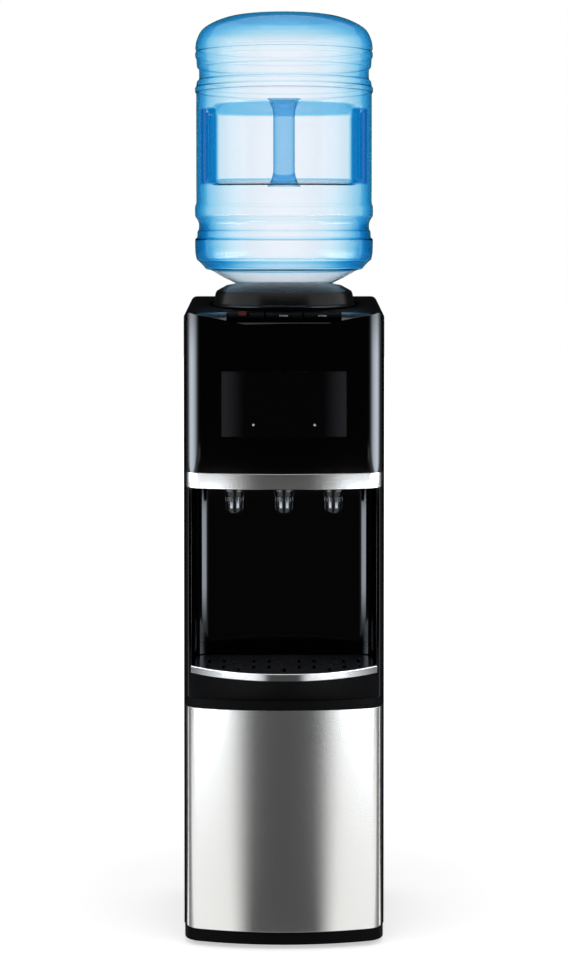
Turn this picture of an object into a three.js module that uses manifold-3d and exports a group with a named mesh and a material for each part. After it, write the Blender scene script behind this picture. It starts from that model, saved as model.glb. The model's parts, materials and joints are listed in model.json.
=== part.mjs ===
// Top load water cooler: a bowed cabinet with a dispensing alcove, three taps worked by
// keys in the front edge of the deck, a slide-out drip tray and a bottle on a collar.
// Millimetres, +Z up, the front faces -Y and the origin is on the floor, at the centre of the part.

import * as THREE from 'three';
import { mergeVertices } from 'three/addons/utils/BufferGeometryUtils.js';
import Module from 'manifold-3d';

const wasm = await Module();
wasm.setup();

// Driving dimensions

const overallDepth = 345;
const cabinetWidth = 305;
const fit = 0.3;
const overrun = 4;
const weldDistance = 0.0001;

const cabinet = { bowRadius: 520, cornerRadius: 26, sideSheet: 3, frontReturn: 22, moulding: 3,
  edgeRound: 10 };
const levels = { panBottom: 7, plinthHeight: 19, steelHeight: 336.4, ledgeHeight: 15, alcoveHeight: 318,
  bandHeight: 23.5, upperHeight: 242, deckRise: 16 };

const base = { floor: 3, wall: 3, inset: 1 };
const foot = { radius: 17, topRadius: 14, studRadius: 4, studHeight: 9, fromSide: 32, fromFront: 40,
  fromRear: 32 };
const steel = { thickness: 1.5 };
const rear = { thickness: 1.5, slotWidth: 52, slotHeight: 5, slotPitch: 13, slotRows: 7, slotColumns: 3,
  columnPitch: 66, lowestSlot: 50 };
const ledge = { plate: 3, rearLap: 4 };
const alcove = { column: 9.2, depth: 80, fillet: 27, wall: 2.5 };
const band = { thickness: 4 };
const ceiling = { thickness: 3, rearLap: 2 };
const upper = { rollRadius: 32 };
const windowPlate = { halfWidth: 94.5, bottomAbove: 55, height: 99, recess: 0.8, thickness: 2 };
const lens = { radius: 1.8, fromCentre: 46, aboveWindow: 18.5, proud: 0.5 };
const board = { halfWidth: 56, height: 60, thickness: 1.6, standoff: 10, postRadius: 4, edge: 2 };

const taps = { pitch: 75, fromFront: 31.5 };
const nozzle = { neckRadius: 12, flangeRadius: 16.5, flangeDrop: 7, coneRadius: 14.4, coneDrop: 18,
  ringRadius: 13.8, ringDrop: 27.5, lipRadius: 6.5, length: 40, bore: 4.5 };
const valve = { radius: 17, height: 36, cap: 4, capRadius: 13, boreDepth: 28, barbRadius: 5, barbLength: 19,
  barbHeight: 16 };
const rod = { radius: 3.5, tipRadius: 1.5, tipHeight: 3, topGap: 0.6 };

const keyCount = 3;
const key = { width: 55, gap: 2.6, plate: 6, chamfer: 3, reach: 21.5, web: 5, arm: 5, hubRadius: 6,
  hubClear: 1.5, belowDeck: 0.5, swing: 8 };
const axle = { radius: 2.5, behindRod: 24, overhang: 4 };
const keyBracket = { plate: 3, depth: 22, earHalf: 7 };
const keySlot = { sideGap: 1, below: 8.5 };
const lock = { width: 11, depth: 5.5, proud: 2, seat: 4.2, travel: 5, fromKeyCentre: -5 };

const well = { frontMargin: 6, rearMargin: 8, depth: 9, floor: 3, mouthClear: 16.9, wall: 3 };
const cover = { wall: 3, skirt: 13 };
const collar = { skirtGap: 9.5, rimGap: 5, rimHeight: 17, rimBand: 3, shoulderGap: 13, shoulderHeight: 39,
  topWidth: 29, lipDrop: 1.2, wall: 3, cupRadius: 30.6, cupWall: 2.5, cupFloor: 3 };
const probe = { radius: 9, wall: 2, tipRadius: 5, tip: 10, flangeRadius: 14, flange: 2.5, aboveMouth: 45 };
const bottle = { height: 495, bodyRadius: 138, wall: 1.8, neckRadius: 28, neckWall: 2.5, neckHeight: 51,
  seatRadius: 76.7, seatRise: 22.5, seatClearance: 0.4, mouthBelowWell: 23.4 };
const recess = { aboveMouth: 225, height: 127, flatFromAxis: 52, barWidth: 33, barDepth: 34, flare: 9,
  flareHeight: 26 };
const cap = { wall: 1.5, height: 18, floor: 1.6, holeRadius: 10 };

const tank = { insideWell: 38, wall: 1.5, bottomAbove: 55, flange: 8, flangeThickness: 1.5 };
const baffle = { thickness: 2, below: 90, funnelDrop: 8, hole: 6 };
const coil = { tubeRadius: 4, turns: 6, pitch: 16, start: 8, sides: 5, stepsPerTurn: 12 };
const jacket = { wall: 19, floor: 16, topBelowFlange: 26 };
const hotTank = { radius: 55, height: 140, wall: 1.5, dome: 14, stubRadius: 7, stubHeight: 10 };
const shelf = { aboveLedge: 112, plate: 2, halfWidth: 62, flange: 14 };
const hose = { radius: 5, sides: 8, steps: 16, handle: 34, insideTank: 35 };

const compressor = { radius: 50, height: 112, dome: 26, footRadius: 62, footPlate: 3, fromRear: 102 };
const condenser = { depth: 20, tubeRadius: 2.6, pitch: 62, halfWidth: 122, wire: 2.4, wires: 5,
  wireSink: 0.6, wireOverhang: 10, bottom: 196, turnSteps: 5, sides: 6 };
const rail = { sheet: 1.5, flange: 14, fromEnd: 16, overhang: 12, belowSwitches: 20 };
const switches = { fromSide: 60.5, belowCover: 66, bezelHalfWidth: 32, bezelHalfHeight: 17, bezel: 2.4,
  bodyDepth: 15, wall: 2.5, rockerHalfWidth: 11, rockerHalfHeight: 9, rockerFace: 4, rockerRoot: 6,
  pivotRadius: 1.5, pivotLength: 1.2, pivotInside: 1, tilt: 12, swingGap: 0.8 };
const drain = { fromSide: 82.5, height: 84, spoutRadius: 9, flangeRadius: 16, flange: 2.5, length: 12,
  bore: 5, capRadius: 13, capLength: 12, ribs: 10, ribDepth: 1, seat: 1 };
const gland = { fromSide: 44.5, height: 96, flangeRadius: 13, flange: 3, bossRadius: 8, boss: 10,
  taper: 1.5, bore: 3.6, nut: 5 };

const tray = { overhang: 43, shoulderInset: 8.2, sideGap: 1.5, rearGap: 1.5, shoulderGap: 0.6,
  cornerDrop: 3.5, height: 49.7, rimHeight: 11, rimRoot: 0.5, wall: 3.5, floor: 4 };
const trim = { thickness: 3 };
const grille = { thickness: 3.7, sideMargin: 15, columnPitch: 22.8, columnsPerTap: 3, slotWidth: 5,
  slotLength: 32, shortSlot: 14, slotGap: 7, frontMargin: 8, ringRadius: 17, hubRadius: 9, spoke: 3.5 };

// How finely round shapes are faceted
const facets = { large: 32, medium: 20, small: 12, hole: 10, bow: 12, corner: 5, tap: 14 };

// Places worked out from the driving dimensions

const halfWidth = cabinetWidth / 2;
const mouldingHalf = halfWidth - cabinet.sideSheet - fit;
const frontApex = -overallDepth / 2 + tray.overhang;
const rearFace = overallDepth / 2 - condenser.depth;
const bowCentre = new THREE.Vector2(0, frontApex + cabinet.bowRadius);
const cornerCentre = cornerCentreOf(mouldingHalf, cabinet.cornerRadius);
const cornerPlane = cornerCentre.y - cabinet.cornerRadius;
const returnY = cornerCentre.y + cabinet.frontReturn;

const plinthTop = levels.panBottom + levels.plinthHeight;
const steelTop = plinthTop + fit + levels.steelHeight;
const ledgeTop = steelTop + fit + levels.ledgeHeight;
const alcoveTop = ledgeTop + fit + levels.alcoveHeight;
const bandBottom = alcoveTop + fit;
const bandTop = bandBottom + levels.bandHeight;
const upperBottom = bandTop + fit;
const deckFront = upperBottom + levels.upperHeight;
const deckRear = deckFront + levels.deckRise;
const coverBottom = deckFront - cover.skirt;
const sheetTop = coverBottom - fit;
const deckSeam = frontApex + upper.rollRadius;
const deckSlope = levels.deckRise / (rearFace - deckSeam - fit);
const wellRadius = (rearFace - deckSeam - well.frontMargin - well.rearMargin) / 2;
const bottleAxisY = deckSeam + well.frontMargin + wellRadius;

const alcoveHalf = mouldingHalf - alcove.column;
const alcoveBack = cornerPlane + alcove.depth;
const tapY = frontApex + taps.fromFront;
const tapXs = [-taps.pitch, 0, taps.pitch];
const plateTop = bandBottom + ceiling.thickness;
const valveBottom = plateTop + fit;
const barbZ = valveBottom + valve.barbHeight;
const boreBottom = valveBottom + valve.height - valve.boreDepth;

const windowBottom = upperBottom + windowPlate.bottomAbove;
const windowTop = windowBottom + windowPlate.height;
const boardFront = frontApex + cabinet.moulding + board.standoff;
const postZ = windowBottom - board.postRadius - board.edge;

const wellFloorTop = deckFront - well.depth;
const wellFloorBottom = wellFloorTop - well.floor;
const wellMouth = collar.cupRadius + collar.cupWall + well.mouthClear;
const bracketTop = wellFloorBottom - fit;
const bracketBottom = bracketTop - keyBracket.plate;
const axleY = tapY + axle.behindRod;
const axleZ = bracketBottom - key.hubClear - key.hubRadius;
const armTop = axleZ + key.arm / 2;
const armBottom = axleZ - key.arm / 2;
const hubAngle = Math.PI - Math.asin(key.arm / 2 / key.hubRadius);
const keyTop = deckFront - key.belowDeck;
const keyFront = deckSeam - key.reach;
const keyPitch = key.width + key.gap;
const keysHalf = (keyCount * keyPitch - key.gap) / 2;
const earThickness = key.gap - 2 * fit;
const slotBottom = keyTop - key.plate - keySlot.below;
const rodTravel = axle.behindRod * Math.sin(THREE.MathUtils.degToRad(key.swing));
const rodTop = armBottom - rod.topGap;
const rodBottom = boreBottom + rodTravel + fit;

const mouth = wellFloorTop - bottle.mouthBelowWell;
const neckTop = mouth + bottle.neckHeight;
const seatTop = neckTop + bottle.seatRise;
const bottleTop = mouth + bottle.height;
const recessBottom = mouth + recess.aboveMouth;
const recessTop = recessBottom + recess.height;
const capBottom = mouth - fit - cap.floor;
const cupFloorTop = capBottom - 2 * fit - probe.flange;
const cupFloorBottom = cupFloorTop - collar.cupFloor;
const collarShoulder = wellRadius - collar.shoulderGap;

const tankTop = wellFloorBottom - fit;
const tankBottom = upperBottom + tank.bottomAbove;
const tankRadius = wellRadius - tank.insideWell;
const coilRadius = (tankRadius + fit + coil.tubeRadius) / Math.cos(Math.PI / coil.stepsPerTurn);
const jacketInner = (coilRadius + coil.tubeRadius + fit) / Math.cos(Math.PI / facets.medium);
const jacketBottom = tankBottom - fit - jacket.floor;
const shelfTop = ledgeTop + shelf.aboveLedge;
const hotTankTop = shelfTop + fit + hotTank.height;
const hotTankY = (alcoveBack + alcove.wall + rearFace - rear.thickness) / 2;
const compressorY = rearFace - compressor.fromRear;
const condenserY = overallDepth / 2 - condenser.wire + condenser.wireSink - condenser.tubeRadius;

const switchX = halfWidth - switches.fromSide;
const switchZ = sheetTop - switches.belowCover;
const pivotY = rearFace - switches.pivotInside;
const rockerOffset = switches.rockerHalfWidth + fit + switches.wall / 2;
const rockerXs = [switchX - rockerOffset, switchX + rockerOffset];
const housingHalfWidth = rockerOffset + switches.rockerHalfWidth + fit + switches.wall;
const pocketHalfHeight = Math.hypot(switches.rockerHalfHeight, switches.rockerFace) + switches.swingGap;
const housingHalfHeight = pocketHalfHeight + switches.wall;
const drainX = drain.fromSide - halfWidth;
const glandX = gland.fromSide - halfWidth;
const railLimit = switchZ - switches.bezelHalfHeight - rail.belowSwitches;
const condenserRise = railLimit - rail.overhang - condenser.bottom;
const condenserRuns = Math.floor(condenserRise / condenser.pitch) + 1;
const condenserTop = condenser.bottom + (condenserRuns - 1) * condenser.pitch;

const trayTop = ledgeTop + fit + tray.height;
const grilleBottom = trayTop - grille.thickness;
const trayApex = -overallDepth / 2;
const trayShoulder = mouldingHalf - tray.shoulderInset;
const trayCorner = bowAt(trayShoulder) - tray.cornerDrop;
const shoulderBack = columnFaceAt(alcoveHalf) - tray.shoulderGap;

// Materials

const finishes = {
  glossBlack: { color: '#101114', roughness: 0.18, metalness: 0 },
  satinBlack: { color: '#1b1c1f', roughness: 0.5, metalness: 0 },
  blackSheet: { color: '#17181a', roughness: 0.4, metalness: 0.2 },
  brushedSteel: { color: '#b9b8b4', roughness: 0.32, metalness: 1 },
  silverTrim: { color: '#c6c5c1', roughness: 0.28, metalness: 0.9 },
  chrome: { color: '#d9dadc', roughness: 0.1, metalness: 1 },
  smokedWindow: { color: '#08090b', roughness: 0.06, metalness: 0 },
  smokedTap: { color: '#34373c', roughness: 0.2, metalness: 0 },
  lensWhite: { color: '#dfe4e8', roughness: 0.25, metalness: 0 },
  rubber: { color: '#1c1c1c', roughness: 0.9, metalness: 0 },
  redPlastic: { color: '#9c2329', roughness: 0.4, metalness: 0 },
  bottleBlue: { color: '#9fd0f0', roughness: 0.12, metalness: 0 },
  capWhite: { color: '#e9eef2', roughness: 0.5, metalness: 0 },
  stainless: { color: '#c4c6c8', roughness: 0.3, metalness: 1 },
  foam: { color: '#e8dfc4', roughness: 0.95, metalness: 0 },
  copper: { color: '#b06a44', roughness: 0.35, metalness: 1 },
  castBlack: { color: '#1a1a1b', roughness: 0.6, metalness: 0.3 },
  silicone: { color: '#d7dbdc', roughness: 0.6, metalness: 0 },
  boardGreen: { color: '#23573a', roughness: 0.5, metalness: 0 },
  zinc: { color: '#a9acae', roughness: 0.45, metalness: 0.9 },
  grilleGrey: { color: '#37383a', roughness: 0.55, metalness: 0 },
};

const materials = Object.fromEntries(
  Object.entries(finishes).map(([name, finish]) => [name, new THREE.MeshStandardMaterial(finish)]),
);

// Outlines

/** Centre of the corner arc that touches the bowed front and a side at the given half width. */
function cornerCentreOf(half, radius) {
  const x = half - radius;
  const reach = cabinet.bowRadius - radius;
  return new THREE.Vector2(x, bowCentre.y - Math.sqrt(reach * reach - x * x));
}

/** Points on an arc about a centre, from one angle to another, both ends included. */
function arc(centre, radius, from, to, steps) {
  return Array.from({ length: steps + 1 }, (_, i) => {
    const angle = from + ((to - from) * i) / steps;
    return new THREE.Vector2(centre.x + radius * Math.cos(angle), centre.y + radius * Math.sin(angle));
  });
}

/** A half outline mirrored to the left, in reverse order. */
function mirrored(points) {
  return points.map((p) => new THREE.Vector2(-p.x, p.y)).reverse();
}

/** The bowed front with its two corners, from the right end to the left, set in by a distance. */
function bowedFront(inset, half = mouldingHalf, radius = cabinet.cornerRadius) {
  const centre = cornerCentreOf(half, radius);
  const tangent = Math.atan2(centre.y - bowCentre.y, centre.x);
  const right = arc(centre, radius - inset, 0, tangent, facets.corner);
  const bow = arc(bowCentre, cabinet.bowRadius - inset, tangent, -Math.PI - tangent, facets.bow);
  return [...right, ...bow.slice(1, -1), ...mirrored(right)];
}

/** The plan of the cabinet front as a filled outline that runs back to y. */
function frontPlan(inset, y, half = mouldingHalf, radius = cabinet.cornerRadius) {
  const front = bowedFront(inset, half, radius);
  const x = half - inset;
  return [new THREE.Vector2(x, y), ...front, new THREE.Vector2(-x, y)];
}

/** The plan of a thin skin that follows the cabinet front between two insets. */
function skinPlan(outer, inner, y) {
  return [...frontPlan(outer, y), ...frontPlan(inner, y).reverse()];
}

/** The y of the bowed front at a given x. */
function bowAt(x, inset = 0) {
  const radius = cabinet.bowRadius - inset;
  return bowCentre.y - Math.sqrt(radius * radius - x * x);
}

// Solids

/** Welds a geometry into one closed surface whose faces point outwards. */
function welded(geometry) {
  const source = geometry.clone();
  source.deleteAttribute('normal');
  source.deleteAttribute('uv');
  const merged = mergeVertices(source, weldDistance);
  const position = merged.getAttribute('position');
  const corners = [0, 1, 2].map(() => new THREE.Vector3());
  const kept = [];
  let volume = 0;
  for (let i = 0; i < merged.index.count; i += 3) {
    const face = [0, 1, 2].map((j) => merged.index.getX(i + j));
    if (new Set(face).size < face.length) continue;
    face.forEach((vertex, j) => corners[j].fromBufferAttribute(position, vertex));
    volume += corners[0].dot(corners[1].clone().cross(corners[2]));
    kept.push(face);
  }
  const faces = volume < 0 ? kept.map(([a, b, c]) => [a, c, b]) : kept;
  merged.setIndex(faces.flat());
  merged.computeVertexNormals();
  return merged;
}

/** A closed geometry as a solid that can be joined and cut. */
function solid(geometry) {
  const merged = welded(geometry);
  const mesh = new wasm.Mesh({
    numProp: 3,
    vertProperties: new Float32Array(merged.getAttribute('position').array),
    triVerts: new Uint32Array(merged.index.array),
  });
  return new wasm.Manifold(mesh);
}

/** A solid as a geometry. */
function geometryOf(body) {
  const mesh = body.getMesh();
  const geometry = new THREE.BufferGeometry();
  geometry.setAttribute('position', new THREE.BufferAttribute(mesh.vertProperties, 3));
  geometry.setIndex(new THREE.BufferAttribute(mesh.triVerts, 1));
  geometry.computeVertexNormals();
  return geometry;
}

const join = (first, ...others) => others.reduce((sum, other) => sum.add(other), first);
const cut = (first, ...others) => others.reduce((rest, other) => rest.subtract(other), first);

/** A box between two opposite corners. */
function box(low, high) {
  const size = high.map((value, i) => value - low[i]);
  const centre = high.map((value, i) => (value + low[i]) / 2);
  return solid(new THREE.BoxGeometry(...size).translate(...centre));
}

/** A plan outline, with holes, raised from one level to another. */
function raised(points, bottom, top, holes = []) {
  const shape = new THREE.Shape(points);
  shape.holes = holes.map((hole) => new THREE.Path(hole));
  const geometry = new THREE.ExtrudeGeometry(shape, { depth: top - bottom, bevelEnabled: false });
  return solid(geometry.translate(0, 0, bottom));
}

/** A side outline, given as [y, z] points, that runs along X between two values. */
function sideProfile(points, left, right, holes = []) {
  const shape = new THREE.Shape(points.map(([y, z]) => new THREE.Vector2(y, z)));
  shape.holes = holes.map((hole) => new THREE.Path(hole));
  const geometry = new THREE.ExtrudeGeometry(shape, { depth: right - left, bevelEnabled: false });
  const toSide = new THREE.Matrix4().makeBasis(
    new THREE.Vector3(0, 1, 0), new THREE.Vector3(0, 0, 1), new THREE.Vector3(1, 0, 0),
  );
  return solid(geometry.applyMatrix4(toSide).translate(left, 0, 0));
}

/** A profile of [radius, height] points turned about a vertical axis at x, y. */
function turned(profile, segments, x = 0, y = 0) {
  const points = profile.map(([radius, height]) => new THREE.Vector2(radius, height));
  const geometry = new THREE.LatheGeometry(points, segments).rotateX(Math.PI / 2);
  return solid(geometry.translate(x, y, 0));
}

/** A ring profile is closed on itself. */
const closed = (profile) => [...profile, profile[0]];

/** A plain upright cylinder. */
function upright(radius, bottom, top, segments, x = 0, y = 0) {
  return turned([[0, bottom], [radius, bottom], [radius, top], [0, top]], segments, x, y);
}

/** A turned profile laid along +Y: heights become distances behind y. */
function turnedBack(profile, segments, x, y, z) {
  const points = profile.map(([radius, height]) => new THREE.Vector2(radius, height));
  return solid(new THREE.LatheGeometry(points, segments).translate(x, y, z));
}

/** A cylinder laid along +Y. */
function backward(radius, from, to, segments, x, z) {
  return turnedBack([[0, from], [radius, from], [radius, to], [0, to]], segments, x, 0, z);
}

/** A cylinder laid along X. */
function sideways(radius, left, right, segments, y, z) {
  const geometry = new THREE.CylinderGeometry(radius, radius, right - left, segments).rotateZ(Math.PI / 2);
  return solid(geometry.translate((left + right) / 2, y, z));
}

/** A round tube along a curve. */
function tube(curve, radius, sides, steps) {
  const corner = (2 * Math.PI) / sides;
  const section = new THREE.Shape(arc(new THREE.Vector2(), radius, 0, 2 * Math.PI - corner, sides - 1));
  return solid(new THREE.ExtrudeGeometry(section, { steps, extrudePath: curve, bevelEnabled: false }));
}

/** A solid that changes evenly from one outline to another with as many points. */
function lofted(lower, bottom, higher, top) {
  const count = lower.length;
  const backwards = THREE.ShapeUtils.isClockWise(lower);
  const ordered = (outline) => (backwards ? outline.toReversed() : outline);
  const caps = THREE.ShapeUtils.triangulateShape(ordered(lower), []);
  const points = [
    ...ordered(lower).map((p) => [p.x, p.y, bottom]), ...ordered(higher).map((p) => [p.x, p.y, top]),
  ];
  const faces = caps.flatMap(([a, b, c]) => [[c, b, a], [a + count, b + count, c + count]]);
  for (let i = 0; i < count; i += 1) {
    const next = (i + 1) % count;
    faces.push([i, next, next + count], [i, next + count, i + count]);
  }
  const geometry = new THREE.BufferGeometry();
  geometry.setAttribute('position', new THREE.Float32BufferAttribute(points.flat(), 3));
  geometry.setIndex(faces.flat());
  return solid(geometry);
}

/** A block of an [x, z] outline between two places in depth, which climbs towards the back. */
function facing(points, front, back, slope = 0) {
  const shape = new THREE.Shape(points.map(([x, z]) => new THREE.Vector2(x, z)));
  const geometry = new THREE.ExtrudeGeometry(shape, { depth: back - front, bevelEnabled: false });
  const climb = new THREE.Matrix4().set(
    1, 0, 0, 0,
    0, 1, 0, 0,
    0, slope, 1, -slope * front,
    0, 0, 0, 1,
  );
  return solid(geometry.rotateX(Math.PI / 2).translate(0, back, 0).applyMatrix4(climb));
}

// Bodies of the part: each group holds the pieces that move together

const cooler = new THREE.Group();

/** Adds a group for a moving body. */
function body(parent = cooler) {
  const group = new THREE.Group();
  parent.add(group);
  return group;
}

/** Adds one piece to a body. */
function piece(name, shape, material, group = cooler) {
  const mesh = new THREE.Mesh(geometryOf(shape), material);
  mesh.name = name;
  group.add(mesh);
  return mesh;
}

// Base and feet

function footCentres() {
  const x = halfWidth - foot.fromSide;
  const front = cornerPlane + foot.fromFront;
  const back = rearFace - foot.fromRear;
  return { front_left: [-x, front], front_right: [x, front], rear_left: [-x, back], rear_right: [x, back] };
}

function addBase() {
  const radius = cabinet.cornerRadius + cabinet.sideSheet;
  const outline = frontPlan(base.inset, rearFace, halfWidth, radius);
  const pocket = frontPlan(base.inset + base.wall, rearFace - base.wall, halfWidth, radius);
  const shell = cut(
    raised(outline, levels.panBottom, plinthTop),
    raised(pocket, levels.panBottom + base.floor, plinthTop + overrun),
  );
  const centres = Object.values(footCentres());
  const low = levels.panBottom - overrun;
  const high = levels.panBottom + base.floor + overrun;
  const holes = centres.map(([x, y]) => upright(foot.studRadius + fit, low, high, facets.hole, x, y));
  piece('base_pan', cut(shell, ...holes), materials.satinBlack);
}

function addFeet() {
  const top = levels.panBottom - fit;
  for (const [place, [x, y]] of Object.entries(footCentres())) {
    const profile = [[0, 0], [foot.radius, 0], [foot.topRadius, top], [foot.studRadius, top],
      [foot.studRadius, top + foot.studHeight], [0, top + foot.studHeight]];
    piece(`foot_${place}`, turned(profile, facets.tap, x, y), materials.rubber);
  }
}

// Cabinet sheets

function addSidePanels() {
  for (const [name, side] of [['side_panel_left', -1], ['side_panel_right', 1]]) {
    const inner = side * (halfWidth - cabinet.sideSheet);
    const outer = side * halfWidth;
    const sheet = box(
      [Math.min(inner, outer), cornerCentre.y, plinthTop + fit],
      [Math.max(inner, outer), rearFace, sheetTop],
    );
    piece(name, sheet, materials.blackSheet);
  }
}

function addSteelPanel() {
  const skin = raised(skinPlan(0, steel.thickness, returnY), plinthTop + fit, steelTop);
  piece('lower_front_panel', skin, materials.brushedSteel);
}

/** One ventilation slot in the rear panel. */
function ventSlot(x, z) {
  return box(
    [x - rear.slotWidth / 2, rearFace - overrun, z - rear.slotHeight / 2],
    [x + rear.slotWidth / 2, rearFace + overrun, z + rear.slotHeight / 2],
  );
}

/** A slot is left out where a round fitting goes through the panel. */
function slotMeets(slotX, slotZ, x, z, radius) {
  const wide = Math.abs(slotX - x) < rear.slotWidth / 2 + radius;
  return wide && Math.abs(slotZ - z) < rear.slotHeight / 2 + radius;
}

function ventSlots() {
  const firstColumn = (-(rear.slotColumns - 1) / 2) * rear.columnPitch;
  const slots = [];
  for (let column = 0; column < rear.slotColumns; column += 1) {
    for (let row = 0; row < rear.slotRows; row += 1) {
      const x = firstColumn + column * rear.columnPitch;
      const z = rear.lowestSlot + row * rear.slotPitch;
      const meetsDrain = slotMeets(x, z, drainX, drain.height, drain.flangeRadius);
      const meetsGland = slotMeets(x, z, glandX, gland.height, gland.flangeRadius);
      if (!meetsDrain && !meetsGland) slots.push(ventSlot(x, z));
    }
  }
  return slots;
}

function addRearPanel() {
  const near = rearFace - overrun;
  const far = rearFace + overrun;
  const sheet = box(
    [-mouldingHalf, rearFace - rear.thickness, plinthTop + fit], [mouldingHalf, rearFace, sheetTop],
  );
  const housing = switchHousing(fit, near, far);
  const through = (radius, x, z) => backward(radius, near, far, facets.tap, x, z);
  const spoutHole = through(drain.spoutRadius + fit, drainX, drain.height);
  const glandHole = through(gland.bossRadius + fit, glandX, gland.height);
  piece('rear_panel', cut(sheet, housing, spoutHole, glandHole, ...ventSlots()), materials.blackSheet);
}

// Alcove, band and upper front

function addTrayLedge() {
  const back = alcoveBack + alcove.wall + ledge.rearLap;
  const bottom = steelTop + fit;
  const block = raised(frontPlan(0, back), bottom, ledgeTop);
  const hollow = raised(
    frontPlan(ledge.plate, back - ledge.plate), bottom - overrun, ledgeTop - ledge.plate,
  );
  piece('tray_ledge', cut(block, hollow), materials.satinBlack);
}

/** The y of the rounded column face at a given x. */
function columnFaceAt(x) {
  const across = x - cornerCentre.x;
  return cornerCentre.y - Math.sqrt(cabinet.cornerRadius * cabinet.cornerRadius - across * across);
}

function linerOutline() {
  const mouth = Math.acos((alcoveHalf - cornerCentre.x) / cabinet.cornerRadius);
  const filletX = alcoveHalf - alcove.fillet;
  const filletCentre = new THREE.Vector2(filletX, alcoveBack - alcove.fillet);
  const column = arc(cornerCentre, cabinet.cornerRadius, 0, -mouth, facets.corner);
  const inside = arc(filletCentre, alcove.fillet, 0, Math.PI / 2, facets.corner);
  const outside = arc(filletCentre, alcove.fillet + alcove.wall, Math.PI / 2, 0, facets.corner);
  return [
    new THREE.Vector2(mouldingHalf, returnY), ...column, ...inside,
    ...mirrored(inside), ...mirrored(column), new THREE.Vector2(-mouldingHalf, returnY),
    new THREE.Vector2(-alcoveHalf - alcove.wall, returnY), ...mirrored(outside),
    ...outside, new THREE.Vector2(alcoveHalf + alcove.wall, returnY),
  ];
}

function addAlcove() {
  piece('niche_liner', raised(linerOutline(), ledgeTop + fit, alcoveTop), materials.glossBlack);
  const strip = raised(skinPlan(0, band.thickness, returnY), bandBottom, bandTop);
  piece('accent_band', strip, materials.silverTrim);
  const platePlan = frontPlan(band.thickness + fit, alcoveBack + ceiling.rearLap);
  const plate = raised(platePlan, bandBottom, plateTop);
  const holes = tapXs.map((x) => upright(
    nozzle.neckRadius + fit, bandBottom - overrun, plateTop + overrun, facets.tap, x, tapY,
  ));
  piece('tap_plate', cut(plate, ...holes), materials.satinBlack);
}

/** A block from side to side whose top edges are rounded and climb with the deck. */
function edgeRounded(half, inset, bottom, front, back, slope = 0) {
  const radius = cabinet.edgeRound - inset;
  const centre = new THREE.Vector2(half - inset - radius, deckFront - inset - radius);
  const right = arc(centre, radius, 0, Math.PI / 2, facets.corner);
  const lower = [new THREE.Vector2(inset - half, bottom), new THREE.Vector2(half - inset, bottom)];
  return facing([...right, ...mirrored(right), ...lower].map((p) => [p.x, p.y]), front, back, slope);
}

/** The solid front block with its rolled top edge, set in from the outside by a distance. */
function rolledBlock(inset, bottom, back) {
  const plan = raised(frontPlan(inset, back), bottom, deckFront - inset);
  const rollCentre = new THREE.Vector2(deckSeam, deckFront - upper.rollRadius);
  const roll = arc(rollCentre, upper.rollRadius - inset, Math.PI, Math.PI / 2, facets.corner);
  const profile = [
    [frontApex + inset, bottom - overrun], ...roll.map((p) => [p.x, p.y]),
    [back + overrun, deckFront - inset], [back + overrun, bottom - overrun],
  ];
  const rolled = plan.intersect(sideProfile(profile, -halfWidth, halfWidth));
  return rolled.intersect(edgeRounded(mouldingHalf, inset, bottom - overrun, frontApex, back + overrun));
}

function addUpperFront() {
  const shell = cut(
    rolledBlock(0, upperBottom, returnY),
    rolledBlock(cabinet.moulding, upperBottom - overrun, returnY + overrun),
    box([-halfWidth, deckSeam, sheetTop], [halfWidth, returnY + overrun, deckFront + overrun]),
  );
  const openingHalf = keysHalf + keySlot.sideGap;
  const near = frontApex - overrun;
  const keyOpening = box(
    [-openingHalf, near, slotBottom], [openingHalf, deckSeam + overrun, deckFront + overrun],
  );
  const windowHole = box(
    [-windowPlate.halfWidth, near, windowBottom], [windowPlate.halfWidth, boardFront, windowTop],
  );
  const posts = [-1, 1].map((side) => {
    const x = side * (board.halfWidth - board.postRadius - board.edge);
    const root = bowAt(x, cabinet.moulding / 2);
    return backward(board.postRadius, root, boardFront - fit, facets.hole, x, postZ);
  });
  piece('upper_front_panel', join(cut(shell, keyOpening, windowHole), ...posts), materials.glossBlack);
}

function addDisplay() {
  const plan = skinPlan(windowPlate.recess, windowPlate.recess + windowPlate.thickness, returnY);
  const skin = raised(plan, windowBottom + fit, windowTop - fit);
  const half = windowPlate.halfWidth - fit;
  const front = box([-half, frontApex - overrun, windowBottom], [half, boardFront, windowTop]);
  const lensXs = [-lens.fromCentre, lens.fromCentre];
  const z = windowBottom + lens.aboveWindow;
  const holes = lensXs.map((x) => backward(
    lens.radius + fit, frontApex - overrun, boardFront, facets.hole, x, z,
  ));
  piece('display_window', cut(skin.intersect(front), ...holes), materials.smokedWindow);
  lensXs.forEach((x, i) => {
    const start = bowAt(x, windowPlate.recess) - lens.proud;
    const pin = backward(lens.radius, start, boardFront - fit, facets.hole, x, z);
    piece(i === 0 ? 'indicator_lens_hot' : 'indicator_lens_cold', pin, materials.lensWhite);
  });
  const boardBottom = postZ - board.postRadius - board.edge;
  const plate = box(
    [-board.halfWidth, boardFront, boardBottom],
    [board.halfWidth, boardFront + board.thickness, boardBottom + board.height],
  );
  piece('control_board', plate, materials.boardGreen);
}

// Taps, hoses and hot tank

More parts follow.
